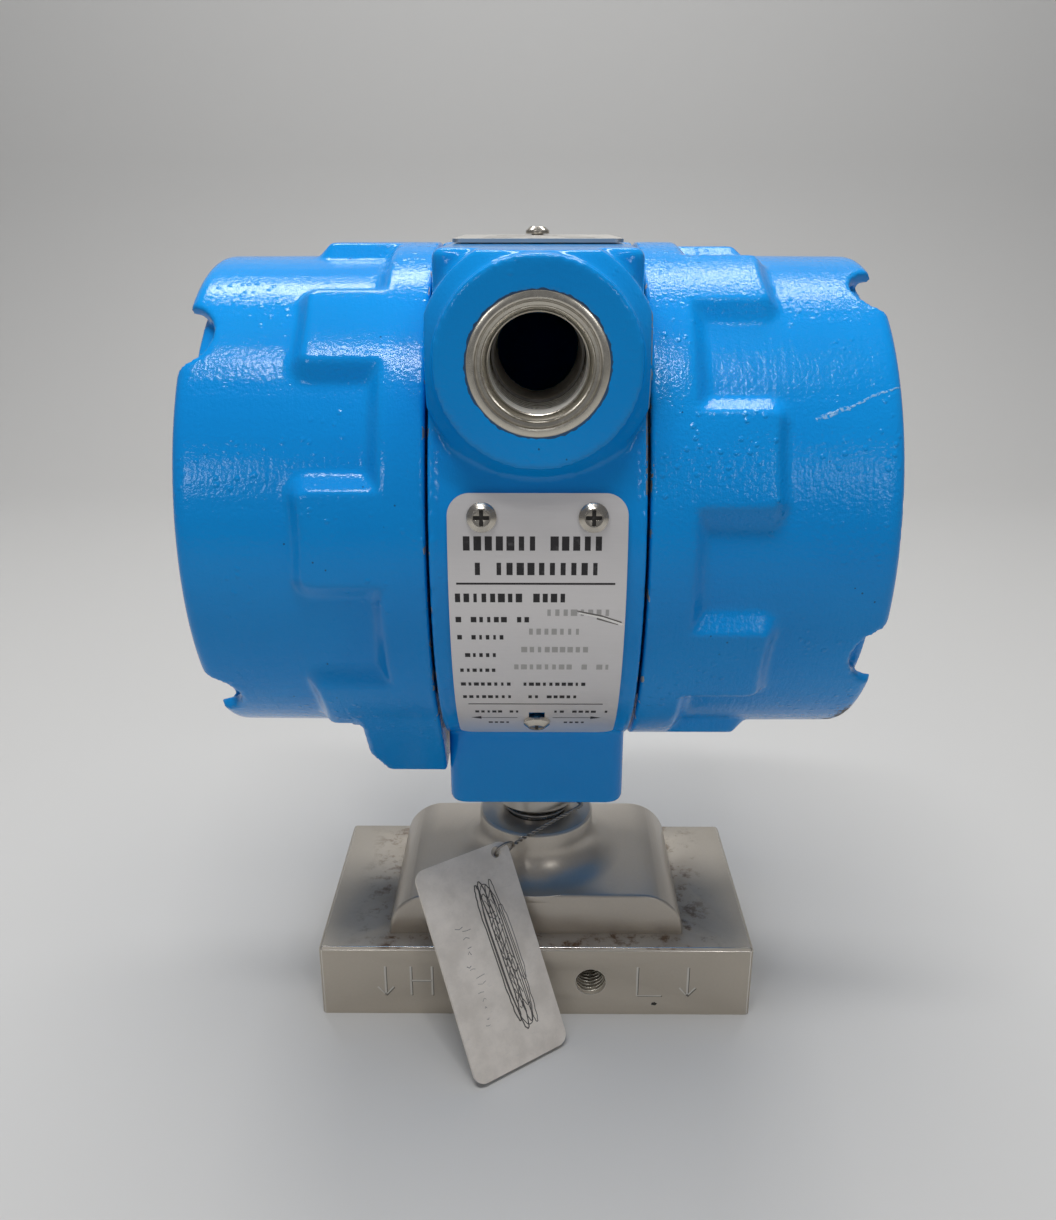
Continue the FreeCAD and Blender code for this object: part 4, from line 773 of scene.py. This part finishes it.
def word_recipe():
    """Rows of small upright blocks of uneven width, bent round the name plate."""
    recipe = Recipe("word_blocks")
    left, rise, pitch, height, radius = recipe.take("Float", "Left", "Rise", "Pitch", "Height", "Radius")
    count, seed = recipe.take("Int", "Count", "Seed")
    material, = recipe.take("Material", "Material")
    line = recipe.node("GeometryNodeMeshLine", {"mode": "OFFSET"}, {
        "Count": count, "Start Location": recipe.join(X=left, Y=rise), "Offset": recipe.join(X=pitch)})
    gap = recipe.node("FunctionNodeRandomValue", {"data_type": "BOOLEAN"},
                      {"Probability": 0.13, "Seed": seed}, 3)
    words = recipe.node("GeometryNodeDeleteGeometry", None, {"Geometry": line, "Selection": gap})
    wide = recipe.node("FunctionNodeRandomValue", {"data_type": "FLOAT"},
                       {2: 0.34, 3: 0.80, "Seed": seed + 7}, 1)
    block = recipe.node("GeometryNodeMeshGrid", None,
                        {"Size X": 1.0, "Size Y": 1.0, "Vertices X": 2, "Vertices Y": 3})
    placed = recipe.node("GeometryNodeInstanceOnPoints", None, {
        "Points": words, "Instance": block, "Scale": recipe.join(X=wide * pitch, Y=height, Z=1.0)})
    real = recipe.node("GeometryNodeRealizeInstances", None, {0: placed})
    across, up, _ = recipe.parts(recipe.node("GeometryNodeInputPosition"))
    angle = up / radius
    bent = recipe.join(X=across, Y=angle.sum("COSINE", angle) * radius * -1.0,
                       Z=angle.sum("SINE", angle) * radius + AXIS)
    recipe.close(recipe.node("GeometryNodeSetPosition", None, {"Geometry": real, "Position": bent}),
                 material)
    return recipe


# Rows of the name plate: left end, angle, count, pitch, height, seed; degrees and mm
PRINTED_ROWS = (
    (-14.2, 4.3, 13, 2.2, 2.9, 3), (-14.2, -0.7, 13, 2.15, 2.6, 11), (-16.2, -6.7, 13, 1.78, 1.95, 21),
    (-16.2, -11.5, 10, 1.56, 1.3, 31), (-16.1, -15.7, 7, 1.45, 1.15, 41), (-16.0, -20.3, 6, 1.4, 1.1, 51),
    (-16.0, -24.6, 6, 1.35, 1.05, 61), (-15.9, -29.0, 8, 1.4, 1.15, 71), (-2.6, -29.0, 10, 1.4, 1.15, 83),
    (-15.8, -33.6, 8, 1.4, 1.15, 91), (-2.9, -33.6, 9, 1.4, 1.15, 101), (-13.4, -40.2, 8, 1.28, 1.15, 111),
    (4.2, -40.2, 9, 1.42, 1.15, 121), (-10.6, -46.6, 4, 1.3, 1.1, 131), (6.6, -46.6, 4, 1.3, 1.1, 141))
STAMPED_ROWS = (
    (2.4, -9.9, 8, 1.7, 1.5, 151), (-2.9, -14.3, 8, 1.6, 1.5, 161), (-4.3, -18.8, 10, 1.6, 1.5, 171),
    (-4.4, -23.6, 13, 1.6, 1.5, 181))
PLATE_ARC = PLATE_FACE / MM * pi / 180  # mm of the plate's arc in a degree


class PrintPlate(bpy.types.Operator):
    """Print the name plate: rules, rows of plain blocks and two arrows, with a gouge across them"""

    bl_idname = "transmitter.print"
    bl_label = "Name plate print"

    def execute(self, context):
        black = ink("plate_ink", (0.018, 0.016, 0.018))
        stamped = ink("plate_stamp", (0.44, 0.43, 0.42))
        recipe, arc = word_recipe(), PLATE_ARC
        for index, (left, angle, count, pitch, height, seed) in enumerate(PRINTED_ROWS + STAMPED_ROWS):
            row = recipe.make("plate_row_%02d" % index, Left=left * MM, Rise=angle * arc * MM, Count=count,
                              Pitch=pitch * MM, Height=height * MM, Seed=seed, Radius=PLATE_FACE + 0.02 * MM,
                              Material=black if index < len(PRINTED_ROWS) else stamped)
            fit(row, "head", "plate_metal")
        rules = [([(-16.4, -3.7 * arc), (15.7, -3.7 * arc)], 0.42),
                 ([(-15.2, -36.6 * arc), (14.6, -36.6 * arc)], 0.36),
                 ([(-13.2, -43.5 * arc), (-4.4, -43.5 * arc)], 0.26),
                 ([(3.6, -43.5 * arc), (12.4, -43.5 * arc)], 0.26)]
        corners = ((14.8, -43.5), (12.4, -42.7), (12.4, -44.3))
        heads = [[(side * far - 0.2, angle * arc) for far, angle in corners][::side] for side in (1, -1)]
        draw("plate_rules", on_plate, rules, heads, black)
        groove = ink("plate_gouge", (0.16, 0.15, 0.14))
        ridge = metal("plate_ridge", (0.70, 0.69, 0.67), (0.92, 0.91, 0.89), 0.25)
        start, middle, end = (8.1, -9.5 * arc), (13.0, -10.6 * arc), (17.3, -12.2 * arc)
        lower = [(u + 0.4, v - 0.45) for u, v in (start, middle, end)]
        side_groove = ([(12.2, -11.2 * arc), (16.6, -12.6 * arc)], 0.35, 0.15)
        draw("plate_gouge", on_plate, [([start, middle, end], 0.25, 0.55), side_groove], [], groove, 0.03)
        draw("plate_ridge", on_plate, [(lower, 0.3, 0.5)], [], ridge, 0.04)
        return {"FINISHED"}


def box_patch(left, bottom, right, top):
    return [(left, bottom), (right, bottom), (right, top), (left, top)]


class PaintScrewSlotShade(bpy.types.Operator):
    """Lay dark crosses on the heads of the name plate's and the top plate's screws: painted shade for the shade
    down in their cross slots
    """

    bl_idname = "transmitter.slots"
    bl_label = "Screw slots"

    def execute(self, context):
        # painted shade: the near-black crosses stand for the shade inside the screws' cross slots
        painted_slot_shade = ink("screw_slots", (0.02, 0.018, 0.016), 0.6)
        for name, place, spots in (
                ("plate_screw_slot_shade", on_plate,
                 [(u, angle * PLATE_ARC) for u, angle in ((-11.1, 9.3), (11.1, 9.3), (0, -45.6))]),
                ("top_screw_slot_shade", on_lid, [(0, 25.2)])):
            patches = [box_patch(u - wide, v - tall, u + wide, v + tall)
                       for u, v in spots for wide, tall in (SLOT, SLOT[::-1])]
            draw(name, place, [], patches, painted_slot_shade, HEAD_RISE, ("head", "screw_steel"))
        return {"FINISHED"}


class PrintLid(bpy.types.Operator):
    """Print plain blocks for the words on the top plate"""

    bl_idname = "transmitter.lid"
    bl_label = "Top plate print"

    def execute(self, context):
        faint = ink("lid_ink", (0.30, 0.29, 0.27))
        blocks = [box_patch(u, v, u + w, v + h) for u, v, w, h in (
            (-2.4, -17.5, 4.6, 1.9), (-12, -14, 7.0, 1.0), (-12, -11, 6.0, 1.0), (6, -14, 8.5, 1.0),
            (6, -11, 6.8, 1.0), (-12, -2, 9.0, 1.0), (5, -2, 9.6, 1.0), (-12, 4, 24, 0.5), (-10, 9, 20, 1.2),
            (-10, 13, 15, 1.2))]
        draw("lid_print", on_lid, [], blocks, faint)
        return {"FINISHED"}


class MarkPorts(bpy.types.Operator):
    """Draw the high and low side letters and their arrows on the block's front as pale strips with darker strips
    beside them: painted highlight and painted shadow of engraved grooves
    """

    bl_idname = "transmitter.marks"
    bl_label = "Port marks"

    def execute(self, context):
        low, high, width = 6.2, 15.4, 0.5
        paths = []
        for u in (-40.0, 40.3):
            paths += [[(u, high), (u, low)], [(u - 2.1, low + 2.6), (u, low), (u + 2.1, low + 2.6)]]
        paths += [[(-33.2, low), (-33.2, high)], [(-27.6, low), (-27.6, high)],
                  [(-33.2, 10.8), (-27.6, 10.8)], [(26.9, high), (26.9, low), (33.4, low)]]
        lines = [(path, width) for path in paths]
        # painted highlight: the pale strips stand for the lit side of each engraved groove
        bright = metal("engraving_light", (0.62, 0.59, 0.54), (0.80, 0.77, 0.71), 0.35)
        shade = metal("engraving_shade", (0.14, 0.13, 0.115), (0.22, 0.20, 0.18), 0.5)
        draw("port_marks", on_front, lines, [], bright, 0.03)
        # painted shadow: the darker strips, set off down and to the right, stand for the shaded side of each
        # groove
        shaded = [([(u + 0.3, v - 0.22) for u, v in path], width * 0.7) for path in paths]
        speck = [(30.9, 3.2), (32.0, 3.0), (32.5, 3.6), (31.8, 4.1), (31.0, 3.9)]
        draw("port_speck", on_front, [], [speck], ink("port_speck", SOOT, 0.6))
        draw("port_mark_shades", on_front, shaded, [], shade, 0.015)
        return {"FINISHED"}


def thread_recipe():
    """A sharp thread: a three-sided profile swept along a helix."""
    recipe = Recipe("thread")
    radius, pitch, turns, crest = recipe.take("Float", "Radius", "Pitch", "Turns", "Crest")
    place, turned = recipe.take("Vector", "Place", "Turned")
    material, = recipe.take("Material", "Material")
    helix = recipe.node("GeometryNodeCurveSpiral", None, {
        "Resolution": 40, "Rotations": turns, "Start Radius": radius, "End Radius": radius,
        "Height": turns * pitch})
    profile = recipe.node("GeometryNodeCurvePrimitiveCircle", {"mode": "RADIUS"},
                          {"Resolution": 3, "Radius": crest})
    ridge = recipe.node("GeometryNodeCurveToMesh", None,
                        {"Curve": helix, "Profile Curve": profile, "Fill Caps": True})
    recipe.close(recipe.node("GeometryNodeTransform", None, {
        "Geometry": ridge, "Translation": place, "Rotation": turned}), material)
    return recipe


def woven(rows, columns, round_rows, round_columns, start=0):
    """Faces of a grid of points kept row by row; either way may close on itself."""
    faces = []
    for row in range(rows if round_rows else rows - 1):
        for column in range(columns if round_columns else columns - 1):
            here, after = start + row * columns, start + (row + 1) % rows * columns
            side = (column + 1) % columns
            faces.append((here + column, here + side, after + side, after + column))
    return faces


def turned_ring(name, profile, material, steps=96):
    """A ring turned from a profile of (radius, depth) in mm about the conduit entry's axis."""
    points = []
    for step in range(steps):
        angle = 2 * pi * step / steps
        for radius, depth in profile:
            points.append(Vector((radius * cos(angle) * MM, ENTRY_FACE + depth * MM,
                                  ENTRY.z + radius * sin(angle) * MM)))
    ring = mesh_piece(name, points, woven(steps, len(profile), True, False), material)
    ring.data.set_sharp_from_angle(angle=radians(28))
    return fit(ring, "head", "blue_paint")


class TurnEntry(bpy.types.Operator):
    """Turn the conduit entry's rim and bore in bare metal, and its shoulder in a near-black metal that is painted
    shade deep in the bore
    """

    bl_idname = "transmitter.entry"
    bl_label = "Conduit entry"

    def execute(self, context):
        turned_ring("entry_rim", [
            (13.7, 0.62), (13.6, 0.25), (13.2, 0.05), (12.3, 0.05), (12.0, 0.25), (11.85, 0.62), (11.6, 0.62),
            (11.5, 0.35), (10.9, 0.45), (10.75, 0.85), (10.5, 0.95), (10.4, 0.8), (9.9, 1.4), (9.7, 2.2),
            (9.45, 2.4)], turned_steel())
        bore = metal("bore_steel", (0.88, 0.86, 0.80), (0.96, 0.94, 0.89), 0.34, (700.0, 60.0, 700.0), 0.2,
                     metallic=0.25)
        turned_ring("entry_bore", [(9.45, 2.3), (9.42, 8.0), (9.4, 15.9)], bore)
        # painted shade: the shoulder's near-black colour stands for the shade deep inside the entry
        dark = metal("shoulder_steel", (0.10, 0.095, 0.09), (0.16, 0.15, 0.14), 0.6, metallic=0.4)
        turned_ring("entry_shoulder", [(9.42, 15.85), (8.85, 15.9)], dark)
        return {"FINISHED"}


class CutThreads(bpy.types.Operator):
    """Cut the threads of the entry, the ports and the bracket holes"""

    bl_idname = "transmitter.threads"
    bl_label = "Threads"

    def execute(self, context):
        along, upright = (pi / 2, 0.0, 0.0), (0.0, 0.0, 0.0)
        threads = [("entry_thread", "head", "blue_paint", ENTRY_RADIUS, 1.81, 5.0, 0.2,
                    (ENTRY.x, ENTRY_FACE + 15.5 * MM, ENTRY.z), along)]
        holes = MOUNTS["bracket_holes"]
        for side, name in ((-1, "high"), (1, "low")):
            x, y, z = holes["pos_m"]
            x += side * holes["dims"]["spacing_x_mm"] / 2 * MM
            threads.append(("bracket_thread_" + name, "base", "block_steel", holes["dims"]["hole_r_mm"] * MM,
                            1.27, 7.0, 0.42, (x, BLOCK_LOW.y + 9.4 * MM, z), along))
            port = MOUNTS[name + "_port"]
            threads.append((name + "_port_thread", "base", "block_steel", port["dims"]["r_mm"] * MM,
                            1.4, 7.0, 0.45, (*port["pos_m"][:2], 0.7 * MM), upright))
        recipe, material = thread_recipe(), turned_steel()
        for name, body, slot, radius, pitch, turns, crest, place, turned in threads:
            fit(recipe.make(name, Radius=radius, Pitch=pitch * MM, Turns=turns, Crest=crest * MM, Place=place,
                            Turned=turned, Material=material), body, slot)
        return {"FINISHED"}


def spline_points(route):
    """Points along a smooth curve through the route's control points."""
    curve = bpy.data.curves.new("route", "CURVE")
    curve.dimensions = "3D"
    spline = curve.splines.new("NURBS")
    spline.points.add(len(route) - 1)
    for point, place in zip(spline.points, route):
        point.co = (*place, 1.0)
    spline.order_u = 3
    spline.use_endpoint_u = True
    spline.resolution_u = 16
    holder = new_object("route", curve)
    points = [vertex.co.copy() for vertex in baked(holder).vertices]
    bpy.data.objects.remove(holder)
    return [p for p, before in zip(points, [None] + points) if before is None or (p - before).length > 1e-7]


def evenly(points, step):
    """The same line with its points a fixed step apart."""
    result, carried = [points[0]], 0.0
    for start, end in zip(points, points[1:]):
        run = (end - start).length
        reach = step - carried
        while reach <= run:
            result.append(start.lerp(end, reach / run))
            reach += step
        carried = run - (reach - step)
    return result


def strands(name, points, radius, aside, lay, material, closed=False, phases=2, sides=8):
    """Wires laid round each other along a line: lay is the length of one turn of the twist."""
    vertices, faces = [], []
    travelled, side = 0.0, None
    frames = []
    count = len(points)
    for index, point in enumerate(points):
        before = points[index - 1] if index or closed else points[0]
        after = points[(index + 1) % count] if closed or index < count - 1 else points[-1]
        run = (after - before).normalized()
        side = run.orthogonal() if side is None else side
        side = (side - run * side.dot(run)).normalized()
        if index:
            travelled += (point - points[index - 1]).length
        frames.append((point, side.copy(), run.cross(side), travelled))
    if closed:
        lay = travelled / max(1, round(travelled / lay))
    for phase in range(phases):
        base = len(vertices)
        for point, side, up, far in frames:
            angle = 2 * pi * (far / lay + phase / phases)
            middle = point + (side * cos(angle) + up * sin(angle)) * aside
            for step in range(sides):
                turn = 2 * pi * step / sides
                vertices.append(middle + (side * cos(turn) + up * sin(turn)) * radius)
        faces += woven(count, sides, closed, True, base)
        if not closed:
            faces.append(tuple(base + step for step in reversed(range(sides))))
            faces.append(tuple(base + (count - 1) * sides + step for step in range(sides)))
    return mesh_piece(name, vertices, faces, material)


def circle(middle, right, up, radius, steps):
    """Points round a circle in the plane of two directions."""
    angles = [2 * pi * step / steps for step in range(steps)]
    return [middle + (right * cos(angle) + up * sin(angle)) * radius for angle in angles]


class TwistWire(bpy.types.Operator):
    """Twist the tag's wire: an eye through the tag, a twisted run and a loop round the stem"""

    bl_idname = "transmitter.wire"
    bl_label = "Tag wire"

    def execute(self, context):
        steel = metal("wire_steel", (0.20, 0.18, 0.16), (0.46, 0.43, 0.39), 0.35)
        hole = Vector(JOINTS["tag_swing"]["pos_m"])
        across = -Vector(JOINTS["tag_swing"]["axis"])
        up = tag_directions()[1]
        through = across.cross(up) * cos(EYE_SWING) + up * sin(EYE_SWING)
        eye = circle(hole + across * EYE_RADIUS, -across, through, EYE_RADIUS, 48)
        x, y = Vector((1, 0, 0)), Vector((0, 1, 0))
        ring = circle(Vector((0, 0, LOOP_HEIGHT)), x, y, LOOP_RADIUS, 96)
        start = hole + across * 2 * EYE_RADIUS
        joined = (LOOP_RADIUS / MM * cos(0.35), LOOP_RADIUS / MM * sin(0.35), LOOP_HEIGHT / MM)
        route = [start, start + (across * 3.4 + Vector((0, 0, 1.1))) * MM] + [Vector(p) * MM for p in (
            (0.6, -15.6, 47.85), (5.4, -12.9, 49.45), (10.2, -9.8, 50.25), (12.9, -5.3, 49.55),
            (11.5, -0.6, 48.05), joined)]
        path = evenly(spline_points(route), 0.2 * MM)
        length = sum((b - a).length for a, b in zip(path, path[1:]))
        run = strands("tag_wire_run", path, 0.3 * MM, 0.27 * MM, 2.6 * MM, steel)
        loop = strands("tag_wire_loop", ring, 0.42 * MM, 0.0, 1.0, steel, closed=True, phases=1)
        small = strands("tag_wire_eye", eye, 0.36 * MM, 0.0, 1.0, steel, closed=True, phases=1)
        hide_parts("tag_wire")
        for piece in (run, loop, small):
            fit(piece, "base", "wire_steel")
        return {"FINISHED"}


# The tag's crossing-out strokes: middle, half width, top and bottom in mm; the last one is pale
LONG_LOOPS = ((1.9, 1.0, 18.6, -17.0), (3.2, 1.3, 19.2, -19.6), (4.9, 1.2, 17.8, -18.2),
              (6.3, 0.9, 18.8, -19.0), (4.2, 2.6, 18.2, -18.8), (7.0, 1.0, 12.0, -8.0))
SLANT = 0.035


class ScribbleTag(bpy.types.Operator):
    """Scratch the dark crossed-out writing band and the rubbed marks into the tag"""

    bl_idname = "transmitter.tag"
    bl_label = "Tag marks"

    def execute(self, context):
        chance = random.Random(17)
        dark = ink("tag_scratch", (0.10, 0.09, 0.085), 0.55)
        grey = ink("tag_scratch_light", (0.26, 0.24, 0.23), 0.55)
        lines, pale = [], []
        for index, (middle, half, top, bottom) in enumerate(LONG_LOOPS):
            loop = []
            for step in range(49):
                angle = 2 * pi * step / 48
                reach = copysign(abs(cos(angle)) ** 0.5, cos(angle))
                level = (top + bottom) / 2 + (top - bottom) / 2 * reach
                loop.append((middle - SLANT * level + half * sin(angle) + chance.uniform(-0.12, 0.12), level))
            (pale if index == len(LONG_LOOPS) - 1 else lines).append((loop, chance.uniform(0.18, 0.36)))
        for index in range(17):
            level = 15.0 - index * 1.75 + chance.uniform(-0.4, 0.4)
            left = 2.9 - SLANT * level + chance.uniform(-0.3, 0.3)
            wide = chance.uniform(1.8, 3.4)
            loop = [(left + wide * step / 8,
                     level + 0.9 * sin(step / 8 * 9.0 + index) + chance.uniform(-0.2, 0.2))
                    for step in range(9)]
            lines.append((loop, chance.uniform(0.16, 0.30)))
        for index in range(14):
            level = 10.5 - index * 1.9 + chance.uniform(-0.7, 0.7)
            left = -6.6 + chance.uniform(-1.1, 1.1)
            wide = chance.uniform(0.5, 2.6)
            pale.append(([(left, level), (left + wide / 2, level + chance.uniform(-0.7, 0.7)),
                          (left + wide, level + chance.uniform(-0.4, 0.4))], chance.uniform(0.10, 0.2)))
        draw("tag_scribble", on_tag, lines, [], dark, 0.03)
        draw("tag_scribble_pale", on_tag, pale, [], grey, 0.02)
        return {"FINISHED"}


def lamp(name, aim, place, size, power, glossy):
    """A soft rectangular lamp that faces a point; without glossy it makes no highlights."""
    light = bpy.data.lights.new(name, "AREA")
    light.shape = "RECTANGLE"
    light.size, light.size_y = size
    light.energy = power
    item = new_object(name, light)
    item.visible_glossy = glossy
    item.location = place
    item.rotation_euler = (Vector(place) - Vector(aim)).to_track_quat("Z", "Y").to_euler()
    return item


LAMPS = (  # name, place and size in metres, watts, seen in highlights
    ("lamp_behind", (0.0, 0.46, 0.92), (0.75, 0.15), 4.2, True),
    ("lamp_above", (-0.09, -0.32, 1.05), (0.50, 0.08), 3.4, True),
    ("lamp_sky", (0.0, -0.10, 1.15), (1.0, 0.6), 5.9, False),
    ("lamp_left", (-0.42, -0.85, 0.47), (0.10, 0.16), 0.5, True),
    ("lamp_right", (0.42, -0.85, 0.47), (0.10, 0.16), 0.5, True))
FLOOR_FRONT, WALL, BEND = -1.6, 0.80, 0.25  # the backdrop along y, and the radius of its foot
HALF_WIDTH, WALL_TOP = 2.2, 2.2


class SetStage(bpy.types.Operator):
    """Set the camera, the pale floor with its rising backdrop, the lamps and the room's light"""

    bl_idname = "transmitter.stage"
    bl_label = "Stage"

    def execute(self, context):
        stage = context.scene.transmitter_stage
        camera = new_object("camera", bpy.data.cameras.new("camera"))
        camera.data.lens = stage.lens
        camera.data.clip_start = 0.01
        camera.location = stage.camera_place
        camera.rotation_euler = (pi / 2 - stage.camera_tilt, 0, stage.camera_turn)
        context.scene.camera = camera
        floor = Finish("stage_floor")
        floor.feed(base_color=tuple(stage.floor), roughness=0.6)
        line = [(FLOOR_FRONT, 0.0), (WALL - BEND, 0.0)]
        line += [(WALL - BEND + BEND * sin(pi / 24 * step), BEND - BEND * cos(pi / 24 * step))
                 for step in range(1, 12)]
        line += [(WALL, BEND), (WALL, WALL_TOP)]
        points = [Vector((x, y, z)) for y, z in line for x in (-HALF_WIDTH, HALF_WIDTH)]
        mesh_piece("backdrop", points, woven(len(line), 2, False, False), floor.material)
        for name, place, size, power, glossy in LAMPS:
            lamp(name, (0.0, 0.0, AXIS), place, size, power, glossy)
        world = bpy.data.worlds.new("room")
        world.use_nodes = True
        room = world.node_tree.nodes["Background"]
        room.inputs["Color"].default_value = (0.94, 0.95, 1.0, 1.0)
        room.inputs["Strength"].default_value = stage.room
        context.scene.world = world
        context.scene.view_settings.view_transform = "Standard"
        return {"FINISHED"}


OPERATORS = (SetStage, CastEnclosure, FinishBlock, FinishNodes, PrintPlate, PaintScrewSlotShade, PrintLid, MarkPorts,
             TurnEntry, CutThreads, TwistWire, ScribbleTag)


class TransmitterPanel(bpy.types.Panel):
    """Every step of the transmitter's looks, in the order in which they are made"""

    bl_idname = "VIEW3D_PT_transmitter"
    bl_label = "Pressure transmitter"
    bl_space_type = "VIEW_3D"
    bl_region_type = "UI"
    bl_category = "Transmitter"

    def draw(self, context):
        for group in (context.scene.transmitter_paint, context.scene.transmitter_stage):
            for name in group.__annotations__:
                self.layout.prop(group, name)
        for operator in OPERATORS:
            self.layout.operator(operator.bl_idname)


CLASSES = (TransmitterPaint, TransmitterStage, *OPERATORS, TransmitterPanel)


def register():
    for item in CLASSES:
        bpy.utils.register_class(item)
    bpy.types.Scene.transmitter_paint = bpy.props.PointerProperty(type=TransmitterPaint)
    bpy.types.Scene.transmitter_stage = bpy.props.PointerProperty(type=TransmitterStage)


def unregister():
    del bpy.types.Scene.transmitter_paint
    del bpy.types.Scene.transmitter_stage
    for item in reversed(CLASSES):
        bpy.utils.unregister_class(item)


def main():
    register()
    for operator in OPERATORS:
        area, name = operator.bl_idname.split(".")
        getattr(getattr(bpy.ops, area), name)()


if __name__ == "__main__":
    main()
